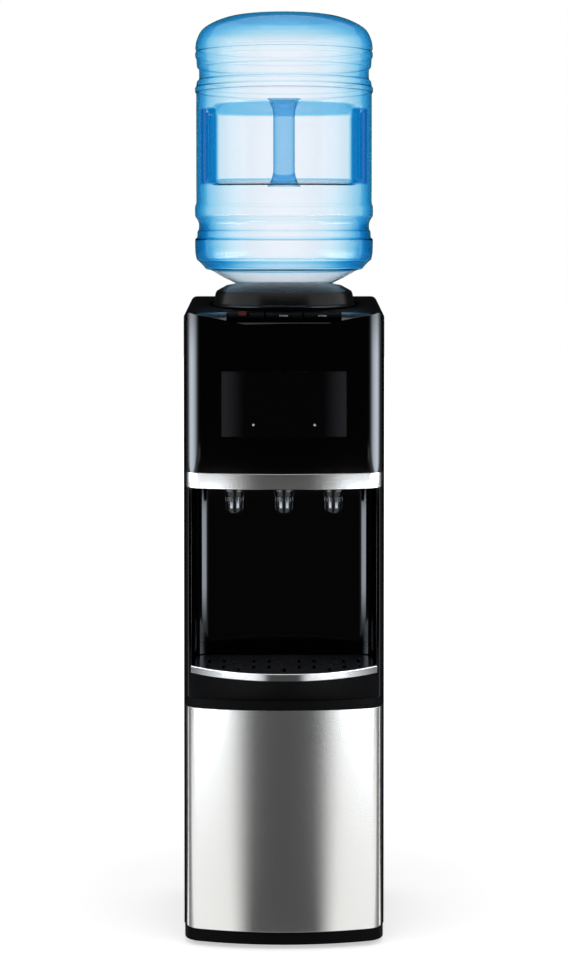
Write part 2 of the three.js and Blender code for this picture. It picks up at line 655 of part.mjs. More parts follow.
function addTaps() {
  const names = ['hot', 'room', 'cold'];
  const under = bandBottom - fit;
  const lip = arc(
    new THREE.Vector2(nozzle.lipRadius, under - nozzle.ringDrop), nozzle.ringRadius - nozzle.lipRadius,
    0, -Math.PI / 2, facets.corner,
  );
  const squash = (nozzle.length - nozzle.ringDrop) / (nozzle.ringRadius - nozzle.lipRadius);
  const ringZ = under - nozzle.ringDrop;
  const rounded = lip.map((p) => [p.x, ringZ + (p.y - ringZ) * squash]);
  const nozzleProfile = closed([
    [nozzle.bore, plateTop], [nozzle.neckRadius, plateTop], [nozzle.neckRadius, under],
    [nozzle.flangeRadius, under], [nozzle.flangeRadius, under - nozzle.flangeDrop],
    [nozzle.coneRadius, under - nozzle.coneDrop], ...rounded, [nozzle.bore, under - nozzle.length],
  ]);
  const top = valveBottom + valve.height;
  const bore = rod.radius + fit;
  const valveProfile = [
    [0, valveBottom], [valve.radius, valveBottom], [valve.radius, top - valve.cap], [valve.capRadius, top],
    [bore, top], [bore, boreBottom], [0, boreBottom],
  ];
  const barbFrom = tapY + valve.radius - valve.barbRadius;
  const barbTo = tapY + valve.radius + valve.barbLength;
  tapXs.forEach((x, i) => {
    const spout = turned(nozzleProfile.toReversed(), facets.tap, x, tapY);
    piece(`tap_nozzle_${names[i]}`, spout, materials.smokedTap);
    const barb = backward(valve.barbRadius, barbFrom, barbTo, facets.hole, x, barbZ);
    const housing = join(turned(valveProfile, facets.tap, x, tapY), barb);
    piece(`tap_valve_${names[i]}`, housing, materials.satinBlack);
  });
}

/** A hose between two ends, leaving each one straight along the given handle. */
function hoseBetween(start, startHandle, end, endHandle) {
  const leaving = start.clone().add(startHandle);
  const arriving = end.clone().add(endHandle);
  const curve = new THREE.CubicBezierCurve3(start, leaving, arriving, end);
  return tube(curve, hose.radius, hose.sides, hose.steps);
}

function addHoses() {
  const barbEnd = tapY + valve.radius + valve.barbLength + fit;
  const [hot, room, cold] = tapXs.map((x) => new THREE.Vector3(x, barbEnd, barbZ));
  const back = new THREE.Vector3(0, hose.handle, 0);
  const down = new THREE.Vector3(0, 0, -hose.handle);
  const up = new THREE.Vector3(0, 0, hose.handle);
  const under = jacketBottom - fit;
  const coldStart = new THREE.Vector3(tankRadius - hose.insideTank, bottleAxisY, under);
  const roomStart = new THREE.Vector3(0, bottleAxisY, under);
  const hotStart = new THREE.Vector3(0, hotTankY, hotTankTop + hotTank.stubHeight + fit);
  piece('cold_hose', hoseBetween(coldStart, down, cold, back), materials.silicone);
  piece('room_hose', hoseBetween(roomStart, down, room, back), materials.silicone);
  piece('hot_hose', hoseBetween(hotStart, up, hot, back), materials.silicone);
}

function addHotTank() {
  const bottom = shelfTop + fit;
  const { radius, wall, dome, stubRadius, stubHeight } = hotTank;
  const profile = [
    [0, bottom], [radius - dome, bottom], [radius, bottom + dome], [radius, hotTankTop - dome],
    [stubRadius, hotTankTop], [stubRadius, hotTankTop + stubHeight],
    [stubRadius - wall, hotTankTop + stubHeight], [stubRadius - wall, hotTankTop - wall],
    [radius - wall, hotTankTop - dome - wall],
    [radius - wall, bottom + dome], [radius - dome, bottom + wall], [0, bottom + wall],
  ];
  piece('hot_tank', turned(profile, facets.medium, 0, hotTankY), materials.stainless);
  const front = alcoveBack + alcove.wall + fit;
  const back = rearFace - rear.thickness - fit;
  const profileShelf = [
    [front, shelfTop - shelf.flange], [front, shelfTop], [back, shelfTop], [back, shelfTop - shelf.flange],
    [back - shelf.plate, shelfTop - shelf.flange], [back - shelf.plate, shelfTop - shelf.plate],
    [front + shelf.plate, shelfTop - shelf.plate], [front + shelf.plate, shelfTop - shelf.flange],
  ];
  piece('hot_tank_shelf', sideProfile(profileShelf, -shelf.halfWidth, shelf.halfWidth), materials.zinc);
}

// Reservoir with its coil and insulation

/** A helix about a vertical axis. */
class Helix extends THREE.Curve {
  constructor(radius, turns, pitch, centre) {
    super();
    Object.assign(this, { radius, turns, pitch, centre });
  }

  getPoint(t, target = new THREE.Vector3()) {
    const angle = 2 * Math.PI * this.turns * t;
    const across = [Math.cos(angle), Math.sin(angle)].map((share) => share * this.radius);
    return target.set(across[0], across[1], this.pitch * this.turns * t).add(this.centre);
  }
}

/** The least gap of a winding to itself, measured on points that lie at least so many steps apart. */
function leastGap(curve, radius, steps, apart) {
  const points = curve.getPoints(steps);
  const nearest = points.map((point, i) => {
    const others = points.slice(i + apart);
    return Math.min(...others.map((other) => point.distanceTo(other)));
  });
  return Math.min(...nearest) - 2 * radius;
}

function addReservoir() {
  const { wall, flange, flangeThickness } = tank;
  const lowRim = tankTop - flangeThickness;
  const tankProfile = [
    [0, tankBottom], [tankRadius, tankBottom], [tankRadius, lowRim], [tankRadius + flange, lowRim],
    [tankRadius + flange, tankTop], [tankRadius - wall, tankTop], [tankRadius - wall, tankBottom + wall],
    [0, tankBottom + wall],
  ];
  piece('cold_tank', turned(tankProfile, facets.medium, 0, bottleAxisY), materials.stainless);

  const plate = tankTop - baffle.below;
  const rim = tankRadius - wall - fit;
  const baffleProfile = closed([
    [baffle.hole, plate - baffle.funnelDrop], [baffle.hole + baffle.thickness, plate - baffle.funnelDrop],
    [baffle.hole + baffle.thickness, plate], [rim, plate], [rim, plate + baffle.thickness],
    [baffle.hole, plate + baffle.thickness],
  ]);
  piece('reservoir_baffle', turned(baffleProfile, facets.medium, 0, bottleAxisY), materials.capWhite);

  const centre = new THREE.Vector3(0, bottleAxisY, tankBottom + coil.start + coil.tubeRadius);
  const helix = new Helix(coilRadius, coil.turns, coil.pitch, centre);
  const steps = coil.turns * coil.stepsPerTurn;
  piece('evaporator_coil', tube(helix, coil.tubeRadius, coil.sides, steps), materials.copper);
  const gap = leastGap(helix, coil.tubeRadius, steps, coil.stepsPerTurn / 2);
  console.log(`evaporator coil: ${coil.turns} turns, least gap to itself ${gap.toFixed(1)} mm`);

  const top = tankTop - jacket.topBelowFlange;
  const outer = jacketInner + jacket.wall;
  const jacketProfile = [
    [0, jacketBottom], [outer, jacketBottom], [outer, top], [jacketInner, top],
    [jacketInner, tankBottom - fit], [0, tankBottom - fit],
  ];
  piece('insulation_jacket', turned(jacketProfile, facets.medium, 0, bottleAxisY), materials.foam);
}

// Deck

function coverBlock(inset, bottom) {
  const radius = cabinet.cornerRadius + cabinet.sideSheet;
  const plan = raised(frontPlan(inset, rearFace - inset, halfWidth, radius), bottom, deckRear);
  const front = deckSeam + fit + inset;
  const back = rearFace - inset;
  const profile = [[front, bottom], [back, bottom], [back, deckRear - inset], [front, deckFront - inset]];
  const sloped = plan.intersect(sideProfile(profile, -halfWidth, halfWidth));
  const low = bottom - levels.deckRise - overrun;
  const rounded = edgeRounded(halfWidth, inset, low, deckSeam + fit, rearFace + overrun, deckSlope);
  return sloped.intersect(rounded);
}

function addTopCover() {
  const wellAt = (radius, bottom) => upright(
    radius, bottom, deckRear + overrun, facets.large, 0, bottleAxisY,
  );
  const inside = coverBlock(cover.wall, coverBottom - overrun);
  const pocket = cut(inside, wellAt(wellRadius + well.wall, wellFloorBottom));
  const mouth = upright(wellMouth, coverBottom - overrun, deckRear, facets.medium, 0, bottleAxisY);
  const shell = cut(coverBlock(0, coverBottom), pocket, wellAt(wellRadius, wellFloorTop), mouth);
  piece('top_cover', shell, materials.satinBlack);
}

// Keys, the bracket with its riveted axle, and the push rods

function addKeyBracket() {
  const half = (keyCount * keyPitch + earThickness) / 2;
  const plate = box(
    [-half, axleY - keyBracket.depth / 2, bracketBottom], [half, axleY + keyBracket.depth / 2, bracketTop],
  );
  const ears = Array.from({ length: keyCount + 1 }, (_, i) => {
    const x = (i - keyCount / 2) * keyPitch;
    return box(
      [x - earThickness / 2, axleY - keyBracket.earHalf, axleZ - keyBracket.earHalf],
      [x + earThickness / 2, axleY + keyBracket.earHalf, bracketTop],
    );
  });
  const end = half + axle.overhang;
  const riveted = sideways(axle.radius, -end, end, facets.hole, axleY, axleZ);
  piece('key_bracket', join(plate, ...ears, riveted), materials.zinc);
}

function keyProfile() {
  const webBack = deckSeam - fit;
  const webFront = webBack - key.web;
  const plateBottom = keyTop - key.plate;
  const hub = arc(new THREE.Vector2(axleY, axleZ), key.hubRadius, -hubAngle, hubAngle, 2 * facets.corner);
  return [
    [keyFront, plateBottom], [webFront, plateBottom], [webFront, armBottom],
    ...hub.map((p) => [p.x, p.y]),
    [webBack, armTop], [webBack, keyTop], [keyFront + key.chamfer, keyTop],
    [keyFront, keyTop - key.chamfer],
  ];
}

function keyShape(centre) {
  const left = centre - key.width / 2;
  const right = centre + key.width / 2;
  const hole = sideways(axle.radius + fit, left - overrun, right + overrun, facets.hole, axleY, axleZ);
  return cut(sideProfile(keyProfile(), left, right), hole);
}

function addKeys() {
  const lockX = -keyPitch + lock.fromKeyCentre;
  const seat = keyTop - lock.seat;
  const pocket = box(
    [lockX - lock.width / 2 - fit, keyFront - overrun, seat],
    [lockX + lock.width / 2 + lock.travel + fit, keyFront + lock.depth + fit, keyTop + overrun],
  );
  const hotKey = body();
  piece('hot_key', cut(keyShape(-keyPitch), pocket), materials.satinBlack, hotKey);
  piece('child_lock_slider', box(
    [lockX - lock.width / 2, keyFront + fit, seat + fit],
    [lockX + lock.width / 2, keyFront + lock.depth, keyTop + lock.proud],
  ), materials.redPlastic, body(hotKey));
  piece('room_key', keyShape(0), materials.satinBlack, body());
  piece('cold_key', keyShape(keyPitch), materials.satinBlack, body());
}

function addPushRods() {
  const profile = [
    [0, rodBottom], [rod.radius, rodBottom], [rod.radius, rodTop - rod.tipHeight],
    [rod.tipRadius, rodTop], [0, rodTop],
  ];
  ['hot', 'room', 'cold'].forEach((name, i) => {
    piece(`push_rod_${name}`, turned(profile, facets.hole, tapXs[i], tapY), materials.zinc, body());
  });
}

// Compressor and condenser

function addCompressor() {
  const bottom = levels.panBottom + base.floor + fit;
  const { radius, height, dome, footRadius, footPlate } = compressor;
  const shoulder = arc(new THREE.Vector2(0, 0), 1, 0, Math.PI / 2, facets.corner)
    .map((p) => [p.x * radius, bottom + height - dome + p.y * dome]);
  shoulder[shoulder.length - 1][0] = 0;
  const profile = [
    [0, bottom], [footRadius, bottom], [footRadius, bottom + footPlate], [radius, bottom + footPlate],
    ...shoulder,
  ];
  piece('compressor', turned(profile, facets.medium, 0, compressorY), materials.castBlack);
}

/** A flat serpentine: straight runs, one step each, joined by half turns of a few steps each. */
class Serpentine extends THREE.Curve {
  constructor(halfRun, pitch, runs, turnSteps, origin) {
    super();
    this.points = [];
    const radius = pitch / 2;
    for (let run = 0; run < runs; run += 1) {
      const side = run % 2 === 0 ? 1 : -1;
      const level = origin.z + run * pitch;
      this.points.push(new THREE.Vector3(-side * halfRun, origin.y, level));
      this.points.push(new THREE.Vector3(side * halfRun, origin.y, level));
      if (run === runs - 1) continue;
      for (let step = 1; step < turnSteps; step += 1) {
        const angle = -Math.PI / 2 + (Math.PI * step) / turnSteps;
        const x = side * (halfRun + radius * Math.cos(angle));
        this.points.push(new THREE.Vector3(x, origin.y, level + radius + radius * Math.sin(angle)));
      }
    }
  }

  getPoint(t, target = new THREE.Vector3()) {
    const place = t * (this.points.length - 1);
    const index = Math.min(Math.floor(place), this.points.length - 2);
    return target.lerpVectors(this.points[index], this.points[index + 1], place - index);
  }

  getPointAt(u, target) {
    return this.getPoint(u, target);
  }

  getTangentAt(u, target) {
    return this.getTangent(u, target);
  }
}

function addCondenser() {
  const halfRun = condenser.halfWidth - condenser.pitch / 2;
  const origin = new THREE.Vector3(0, condenserY, condenser.bottom);
  const path = new Serpentine(halfRun, condenser.pitch, condenserRuns, condenser.turnSteps, origin);
  const winding = tube(path, condenser.tubeRadius, condenser.sides, path.points.length - 1);
  const wires = Array.from({ length: condenser.wires }, (_, i) => {
    const x = -halfRun + (2 * halfRun * i) / (condenser.wires - 1);
    const low = condenser.bottom - condenser.wireOverhang;
    return box(
      [x - condenser.wire / 2, overallDepth / 2 - condenser.wire, low],
      [x + condenser.wire / 2, overallDepth / 2, condenserTop + condenser.wireOverhang],
    );
  });
  piece('condenser', join(winding, ...wires), materials.castBlack);

  const near = rearFace + fit;
  const far = condenserY - condenser.tubeRadius - fit;
  for (const [name, side] of [['condenser_rail_left', -1], ['condenser_rail_right', 1]]) {
    const web = side * (halfRun - rail.fromEnd);
    const inner = web + side * rail.sheet;
    const edge = web + side * rail.flange;
    const outline = [
      [web, near], [edge, near], [edge, near + rail.sheet], [inner, near + rail.sheet],
      [inner, far - rail.sheet], [edge, far - rail.sheet], [edge, far], [web, far],
    ].map(([x, y]) => new THREE.Vector2(x, y));
    const low = condenser.bottom - rail.overhang;
    piece(name, raised(outline, low, condenserTop + rail.overhang), materials.zinc);
  }
}

// Fittings on the rear panel

/** The block that holds both rockers, grown all round by a gap. */
function switchHousing(gap, front, back) {
  return box(
    [switchX - housingHalfWidth - gap, front, switchZ - housingHalfHeight - gap],
    [switchX + housingHalfWidth + gap, back, switchZ + housingHalfHeight + gap],
  );
}

function addSwitches() {
  const { bezelHalfWidth, bezelHalfHeight } = switches;
  const bezelBack = rearFace + fit + switches.bezel;
  const plate = box(
    [switchX - bezelHalfWidth, rearFace + fit, switchZ - bezelHalfHeight],
    [switchX + bezelHalfWidth, bezelBack, switchZ + bezelHalfHeight],
  );
  const pocketHalf = switches.rockerHalfWidth + fit;
  const pockets = rockerXs.map((x) => box(
    [x - pocketHalf, rearFace - switches.bodyDepth + switches.wall, switchZ - pocketHalfHeight],
    [x + pocketHalf, bezelBack + overrun, switchZ + pocketHalfHeight],
  ));
  const pinHole = sideways(
    switches.pivotRadius + fit, rockerXs[0] - pocketHalf - switches.pivotLength,
    rockerXs[1] + pocketHalf + switches.pivotLength, facets.hole, pivotY, switchZ,
  );
  const housing = switchHousing(0, rearFace - switches.bodyDepth, rearFace + fit + switches.bezel / 2);
  piece('switch_bezel', cut(join(plate, housing), ...pockets, pinHole), materials.satinBlack);

  const { rockerHalfHeight: high, rockerFace: face, rockerRoot: root } = switches;
  const outline = [
    [face, high], [face / 2, 0], [face, -high], [0, -high], [-root, -high / 2], [-root, high / 2],
    [0, high],
  ];
  const turn = new THREE.Vector2();
  const tilted = outline.map(([y, z]) => {
    const p = turn.set(y, z).rotateAround(new THREE.Vector2(), THREE.MathUtils.degToRad(switches.tilt));
    return [pivotY + p.x, switchZ + p.y];
  });
  const colours = { hot_switch: materials.redPlastic, cold_switch: materials.glossBlack };
  Object.entries(colours).forEach(([name, colour], i) => {
    const left = rockerXs[i] - switches.rockerHalfWidth;
    const right = rockerXs[i] + switches.rockerHalfWidth;
    const ends = [left - switches.pivotLength, right + switches.pivotLength];
    const pin = sideways(switches.pivotRadius, ...ends, facets.hole, pivotY, switchZ);
    piece(name, join(sideProfile(tilted, left, right), pin), colour, body());
  });
}

function addDrainAndGland() {
  const { spoutRadius, flangeRadius, flange, length, bore, capRadius, capLength, seat } = drain;
  const spout = closed([
    [bore, -length], [spoutRadius, -length], [spoutRadius, fit], [flangeRadius, fit],
    [flangeRadius, fit + flange], [spoutRadius, fit + flange], [spoutRadius, length], [bore, length],
  ]);
  const along = (profile, y, x, z) => turnedBack(profile, facets.tap, x, y, z);
  piece('drain_spout', along(spout, rearFace, drainX, drain.height), materials.capWhite);
  const open = fit + flange + seat;
  const end = open + capLength;
  const capProfile = [
    [0, end], [capRadius - drain.ribDepth, end], [capRadius, end - drain.ribDepth], [capRadius, open],
    [spoutRadius + fit, open], [spoutRadius + fit, length + fit], [0, length + fit],
  ];
  const cup = along(capProfile, rearFace, drainX, drain.height);
  const grips = Array.from({ length: drain.ribs }, (_, i) => {
    const angle = (2 * Math.PI * i) / drain.ribs;
    const x = drainX + capRadius * Math.cos(angle);
    const z = drain.height + capRadius * Math.sin(angle);
    return backward(drain.ribDepth, rearFace + open, rearFace + end - drain.ribDepth, facets.corner, x, z);
  });
  piece('drain_cap', join(cup, ...grips), materials.satinBlack, body());

  const glandProfile = closed([
    [gland.bore, -gland.nut], [gland.bossRadius, -gland.nut], [gland.bossRadius, fit],
    [gland.flangeRadius, fit], [gland.flangeRadius, fit + gland.flange],
    [gland.bossRadius, fit + gland.flange],
    [gland.bossRadius - gland.taper, gland.boss], [gland.bore, gland.boss],
  ]);
  piece('cable_gland', along(glandProfile, rearFace, glandX, gland.height), materials.satinBlack);
}

// Drip tray, trim and grille

/** Radius of the front arc that runs from one shoulder to the other through an apex. */
function bulgeRadius(cornerY, apexY) {
  const sag = cornerY - apexY;
  return (trayShoulder * trayShoulder + sag * sag) / (2 * sag);
}

/** The front arc set in by a distance, from the right end to the left. */
function bulge(half, inset, apexY, cornerY) {
  const radius = bulgeRadius(cornerY, apexY);
  const spread = Math.asin(half / (radius - inset));
  const centre = new THREE.Vector2(0, apexY + radius);
  return arc(centre, radius - inset, spread - Math.PI / 2, -spread - Math.PI / 2, facets.bow);
}

/** The right side of the tray in plan, from its rear corner forwards, which follows the alcove. */
function traySide(inset) {
  const half = alcoveHalf - tray.sideGap - inset;
  const radius = alcove.fillet - inset;
  const centre = new THREE.Vector2(half - radius, alcoveBack - tray.rearGap - inset - radius);
  return arc(centre, radius, Math.PI / 2, 0, facets.corner);
}

/** The tray's outside in plan, with shoulders in front of the alcove's columns. */
function trayPlan(apexY, cornerY) {
  const half = alcoveHalf - tray.sideGap;
  const right = [
    ...traySide(0), new THREE.Vector2(half, shoulderBack),
    new THREE.Vector2(trayShoulder, shoulderBack),
  ];
  return [...right, ...bulge(trayShoulder, 0, apexY, cornerY), ...mirrored(right)];
}

/** The tray's plan behind its trim, set in by a distance, without shoulders. */
function trayInside(inset, apexY, cornerY) {
  const half = alcoveHalf - tray.sideGap - inset;
  const right = traySide(inset);
  return [...right, ...bulge(half, inset, apexY, cornerY), ...mirrored(right)];
}

function addTray() {
  const bottom = ledgeTop + fit;
  const rimBottom = trayTop - tray.rimHeight;
  const behindTrim = trim.thickness + fit;
  const lowCorner = bowAt(trayShoulder);
  const outside = lofted(
    trayPlan(frontApex, lowCorner), bottom, trayPlan(trayApex, trayCorner), rimBottom - fit,
  );
  const inside = trayInside(behindTrim, trayApex, trayCorner);
  const rim = raised(inside, rimBottom - fit - tray.rimRoot, grilleBottom - fit);
  const hollow = lofted(
    trayInside(behindTrim + tray.wall, frontApex, lowCorner), bottom + tray.floor,
    trayInside(behindTrim + tray.wall, trayApex, trayCorner), trayTop,
  );
  const drawer = body();
  piece('drip_tray', cut(join(outside, rim), hollow), materials.satinBlack, drawer);

  const strip = (half, inset) => [
    new THREE.Vector2(half, shoulderBack), ...bulge(half, inset, trayApex, trayCorner),
    new THREE.Vector2(-half, shoulderBack),
  ];
  const outline = [
    ...strip(trayShoulder, 0), ...strip(trayShoulder - trim.thickness, trim.thickness).reverse(),
  ];
  piece('tray_trim', raised(outline, rimBottom, trayTop), materials.chrome, drawer);

  const plate = raised(inside, grilleBottom, trayTop);
  piece('drip_grille', cut(plate, ...grilleOpenings()), materials.grilleGrey, body(drawer));
}

/** A slot through the grille between two places in depth. */
function grilleSlot(x, front, back) {
  return box(
    [x - grille.slotWidth / 2, front, grilleBottom - overrun],
    [x + grille.slotWidth / 2, back, trayTop + overrun],
  );
}

/** A round opening under a tap, with four spokes that carry a hub. */
function grilleRing(x) {
  const low = grilleBottom - overrun;
  const high = trayTop + overrun;
  const disc = upright(grille.ringRadius, low, high, facets.tap, x, tapY);
  const hub = upright(grille.hubRadius, low, high, facets.hole, x, tapY);
  const reach = grille.ringRadius + overrun;
  const half = grille.spoke / 2;
  const along = box([x - half, tapY - reach, low], [x + half, tapY + reach, high]);
  const across = box([x - reach, tapY - half, low], [x + reach, tapY + half, high]);
  return cut(disc, hub, along, across);
}

function grilleOpenings() {
  const openings = [];
  const half = alcoveHalf - tray.sideGap - trim.thickness - fit;
  const last = Math.floor((half - grille.sideMargin) / grille.columnPitch);
  for (let column = -last; column <= last; column += 1) {
    const x = column * grille.columnPitch;
    const away = Math.abs(column);
    const underTap = away === 0 || away === grille.columnsPerTap;
    const gap = underTap ? grille.ringRadius + grille.slotGap : grille.slotGap / 2;
    const frontEdge = grilleFrontAt(Math.abs(x) + grille.slotWidth / 2) + grille.frontMargin;
    const front = Math.max(frontEdge, tapY - gap - grille.slotLength);
    const back = tapY + gap + (underTap ? grille.shortSlot : grille.slotLength);
    openings.push(grilleSlot(x, front, tapY - gap), grilleSlot(x, tapY + gap, back));
    if (underTap) openings.push(grilleRing(x));
  }
  return openings;
}

/** The y of the grille's front edge at a given x. */
function grilleFrontAt(x) {
  const radius = bulgeRadius(trayCorner, trayApex);
  const inner = radius - trim.thickness - fit;
  return trayApex + radius - Math.sqrt(inner * inner - x * x);
}

// Collar, probe and bottle

function addCollar(group) {
  const seat = wellFloorTop + fit;
  const { rimHeight, rimBand, shoulderHeight, wall, cupRadius, cupWall, lipDrop } = collar;
  const skirtRadius = wellRadius - collar.skirtGap;
  const rimRadius = wellRadius - collar.rimGap;
  const lipRadius = collarShoulder - collar.topWidth;
  const lipTop = seatZ(lipRadius) - bottle.seatClearance;
  const cupTop = seatZ(cupRadius) - bottle.seatClearance;
  const profile = closed([
    [skirtRadius - wall, seat], [skirtRadius, seat], [rimRadius, seat + rimHeight - rimBand],
    [rimRadius, seat + rimHeight], [collarShoulder, seat + shoulderHeight],
    [lipRadius + wall, lipTop - lipDrop], [lipRadius, lipTop],
    [cupRadius, cupTop], [cupRadius, cupFloorTop], [probe.radius + fit, cupFloorTop],
    [probe.radius + fit, cupFloorBottom], [cupRadius + cupWall, cupFloorBottom],
    [cupRadius + cupWall, cupTop - wall], [lipRadius, lipTop - 2 * wall],
    [collarShoulder - wall, seat + shoulderHeight - wall],
    [rimRadius - wall, seat + rimHeight - rimBand / 2],
  ]);
  piece('bottle_collar', turned(profile, facets.large, 0, bottleAxisY), materials.satinBlack, group);

  const flangeBottom = cupFloorTop + fit;
  const top = mouth + probe.aboveMouth;
  const throat = probe.radius - probe.wall;
  const low = cupFloorBottom - probe.tip;
  const probeProfile = closed([
    [throat, low], [probe.radius, low], [probe.radius, flangeBottom], [probe.flangeRadius, flangeBottom],
    [probe.flangeRadius, flangeBottom + probe.flange], [probe.radius, flangeBottom + probe.flange],
    [probe.radius, top - probe.tip], [probe.tipRadius, top], [probe.tipRadius - probe.wall, top],
    [throat, top - probe.tip],
  ]);
  piece('feed_probe', turned(probeProfile, facets.small, 0, bottleAxisY), materials.capWhite, group);
}

/** The level of the bottle's conical seat at a given radius. */
function seatZ(radius) {
  const slope = bottle.seatRise / (bottle.seatRadius - bottle.neckRadius);
  return neckTop + (radius - bottle.neckRadius) * slope;
}

// The bottle's side above its seat, as shares of the body's radius and of the height above the seat
const bottleSideShares = [
  [0.696, 0.0225], [0.822, 0.046], [0.92, 0.068], [0.986, 0.091], [1.014, 0.125], [1.014, 0.16],
  [0.992, 0.181], [0.971, 0.216], [0.992, 0.238], [1.014, 0.25], [1.014, 0.284], [1, 0.302], [1, 0.699],
  [1.014, 0.718], [1, 0.739], [0.967, 0.785], [0.993, 0.813], [1.011, 0.832], [1.011, 0.888],
  [0.993, 0.91], [0.951, 0.934], [0.877, 0.955], [0.746, 0.976], [0.58, 0.9905], [0.29, 0.9976],
];

function bottleSide() {
  const rise = bottleTop - seatTop;
  return bottleSideShares.map(([across, up]) => [across * bottle.bodyRadius, seatTop + up * rise]);
}

/** A profile moved inwards by a distance, square to its own direction. */
function thinned(profile, distance) {
  return profile.map(([radius, z], i) => {
    const before = profile[Math.max(i - 1, 0)];
    const after = profile[Math.min(i + 1, profile.length - 1)];
    const along = new THREE.Vector2(after[0] - before[0], after[1] - before[1]).normalize();
    return [radius - along.y * distance, z + along.x * distance];
  });
}

/** The grip bar's outline: straight in the middle and wider at both ends. */
function barOutline(inset, bottom, top) {
  const half = recess.barWidth / 2 - inset;
  const wide = half + recess.flare;
  return [
    [-wide, bottom], [wide, bottom], [half, bottom + recess.flareHeight], [half, top - recess.flareHeight],
    [wide, top], [-wide, top], [-half, top - recess.flareHeight], [-half, bottom + recess.flareHeight],
  ];
}

function addBottle(group) {
  const { wall, neckRadius, neckWall, seatRadius, bodyRadius } = bottle;
  const side = [[neckRadius, neckTop], [seatRadius, seatTop], ...bottleSide(), [0, bottleTop]];
  const outer = turned([[0, mouth], [neckRadius, mouth], ...side], facets.large, 0, bottleAxisY);
  const insideSide = thinned(side, wall).slice(1, -1);
  const bore = neckRadius - neckWall;
  const inner = turned([
    [0, mouth - overrun], [bore, mouth - overrun], [bore, neckTop + wall], ...insideSide,
    [0, bottleTop - wall],
  ], facets.medium, 0, bottleAxisY);

  const far = bodyRadius + overrun;
  const flat = bottleAxisY - recess.flatFromAxis;
  const front = bottleAxisY - far;
  const slot = box([-far, front, recessBottom], [far, flat, recessTop]);
  const slotWall = box([-far, front, recessBottom - wall], [far, flat + wall, recessTop + wall]);
  const shell = cut(cut(outer, slot), cut(inner, slotWall));
  piece('bottle', shell, materials.bottleBlue, group);

  const barBack = bottleAxisY - bodyRadius + recess.barDepth;
  const barBlock = facing(barOutline(0, recessBottom + fit, recessTop - fit), front, barBack);
  const openOutline = barOutline(wall, recessBottom - overrun, recessTop + overrun);
  const barInside = facing(openOutline, front, barBack - wall);
  const bar = cut(barBlock.intersect(outer), barInside.intersect(inner));
  piece('bottle_grip', bar, materials.bottleBlue, group);

  const capInner = neckRadius + fit;
  const capOuter = capInner + cap.wall;
  const capProfile = closed([
    [cap.holeRadius, capBottom], [capOuter, capBottom], [capOuter, capBottom + cap.height],
    [capInner, capBottom + cap.height], [capInner, mouth - fit], [cap.holeRadius, mouth - fit],
  ]);
  piece('bottle_cap', turned(capProfile, facets.large, 0, bottleAxisY), materials.capWhite, group);
}

addBase();
addFeet();
addSidePanels();
addSteelPanel();
addRearPanel();
addTrayLedge();
addAlcove();
addUpperFront();
addDisplay();
addTaps();
addHotTank();
addHoses();
addReservoir();
addTopCover();
addKeyBracket();
addKeys();
addPushRods();
addCompressor();
addCondenser();
addSwitches();
addDrainAndGland();
addTray();
const collarBody = body();
addCollar(collarBody);
addBottle(body(collarBody));

export default cooler;
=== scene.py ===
"""The looks of a top load water cooler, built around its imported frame.

Each sub-assembly is a class that models its own visible pieces in millimetres and dresses them.
The frame gives every level, width and depth that a piece shares with its neighbours.
"""

from __future__ import annotations

import json
import logging
import math
from dataclasses import dataclass
from enum import Enum
from functools import cache

import bmesh
import bpy
from mathutils import Matrix, Vector

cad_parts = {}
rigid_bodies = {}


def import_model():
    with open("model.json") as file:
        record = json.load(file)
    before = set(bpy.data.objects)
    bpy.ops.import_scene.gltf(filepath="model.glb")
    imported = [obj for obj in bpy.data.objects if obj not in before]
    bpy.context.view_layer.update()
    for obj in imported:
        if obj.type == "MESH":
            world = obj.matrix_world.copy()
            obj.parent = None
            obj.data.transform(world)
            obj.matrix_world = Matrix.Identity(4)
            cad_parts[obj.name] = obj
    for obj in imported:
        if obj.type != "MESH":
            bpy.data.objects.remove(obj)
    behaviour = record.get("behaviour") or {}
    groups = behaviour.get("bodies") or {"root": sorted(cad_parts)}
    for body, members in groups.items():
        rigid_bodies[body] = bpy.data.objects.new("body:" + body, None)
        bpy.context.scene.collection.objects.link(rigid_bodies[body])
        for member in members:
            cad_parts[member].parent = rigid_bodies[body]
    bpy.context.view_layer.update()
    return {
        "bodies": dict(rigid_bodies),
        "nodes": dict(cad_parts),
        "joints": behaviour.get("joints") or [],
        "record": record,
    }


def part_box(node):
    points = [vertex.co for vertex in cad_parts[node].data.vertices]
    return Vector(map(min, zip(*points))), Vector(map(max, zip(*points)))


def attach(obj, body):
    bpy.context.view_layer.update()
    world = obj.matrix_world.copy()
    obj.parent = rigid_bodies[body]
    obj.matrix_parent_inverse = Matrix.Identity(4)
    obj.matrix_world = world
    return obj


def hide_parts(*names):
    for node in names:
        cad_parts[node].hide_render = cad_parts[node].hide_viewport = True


LOG = logging.getLogger("water_cooler")
MM = 0.001
ARC_STEPS = 12
SMOOTH_BELOW = math.radians(32)
MERGE_MM = 0.01
OVERRUN_MM = 5.0
# A pattern's scale along its own lines: the smaller it is, the longer the lines
BRUSHED_SCALE = 0.012
DRAWN_SCALE = 0.05

Point = tuple[float, float]


class Plane(Enum):
    """The plane that an outline is drawn in; the prism runs along the axis that is left."""

    XY = "plan"
    YZ = "side"
    XZ = "front"

    def place(self, across: float, up: float, along: float) -> Vector:
        """Places an outline's point in space.

        Args:
            across: The point's first coordinate.
            up: Its second coordinate.
            along: Its place on the axis that the plane leaves.

        Returns:
            The place in space.
        """
        if self is Plane.XY:
            return Vector((across, up, along))
        if self is Plane.YZ:
            return Vector((along, across, up))
        return Vector((across, along, up))


class Combine(Enum):
    """How two closed shapes are made one."""

    CUT = "DIFFERENCE"
    JOIN = "UNION"
    KEEP = "INTERSECT"


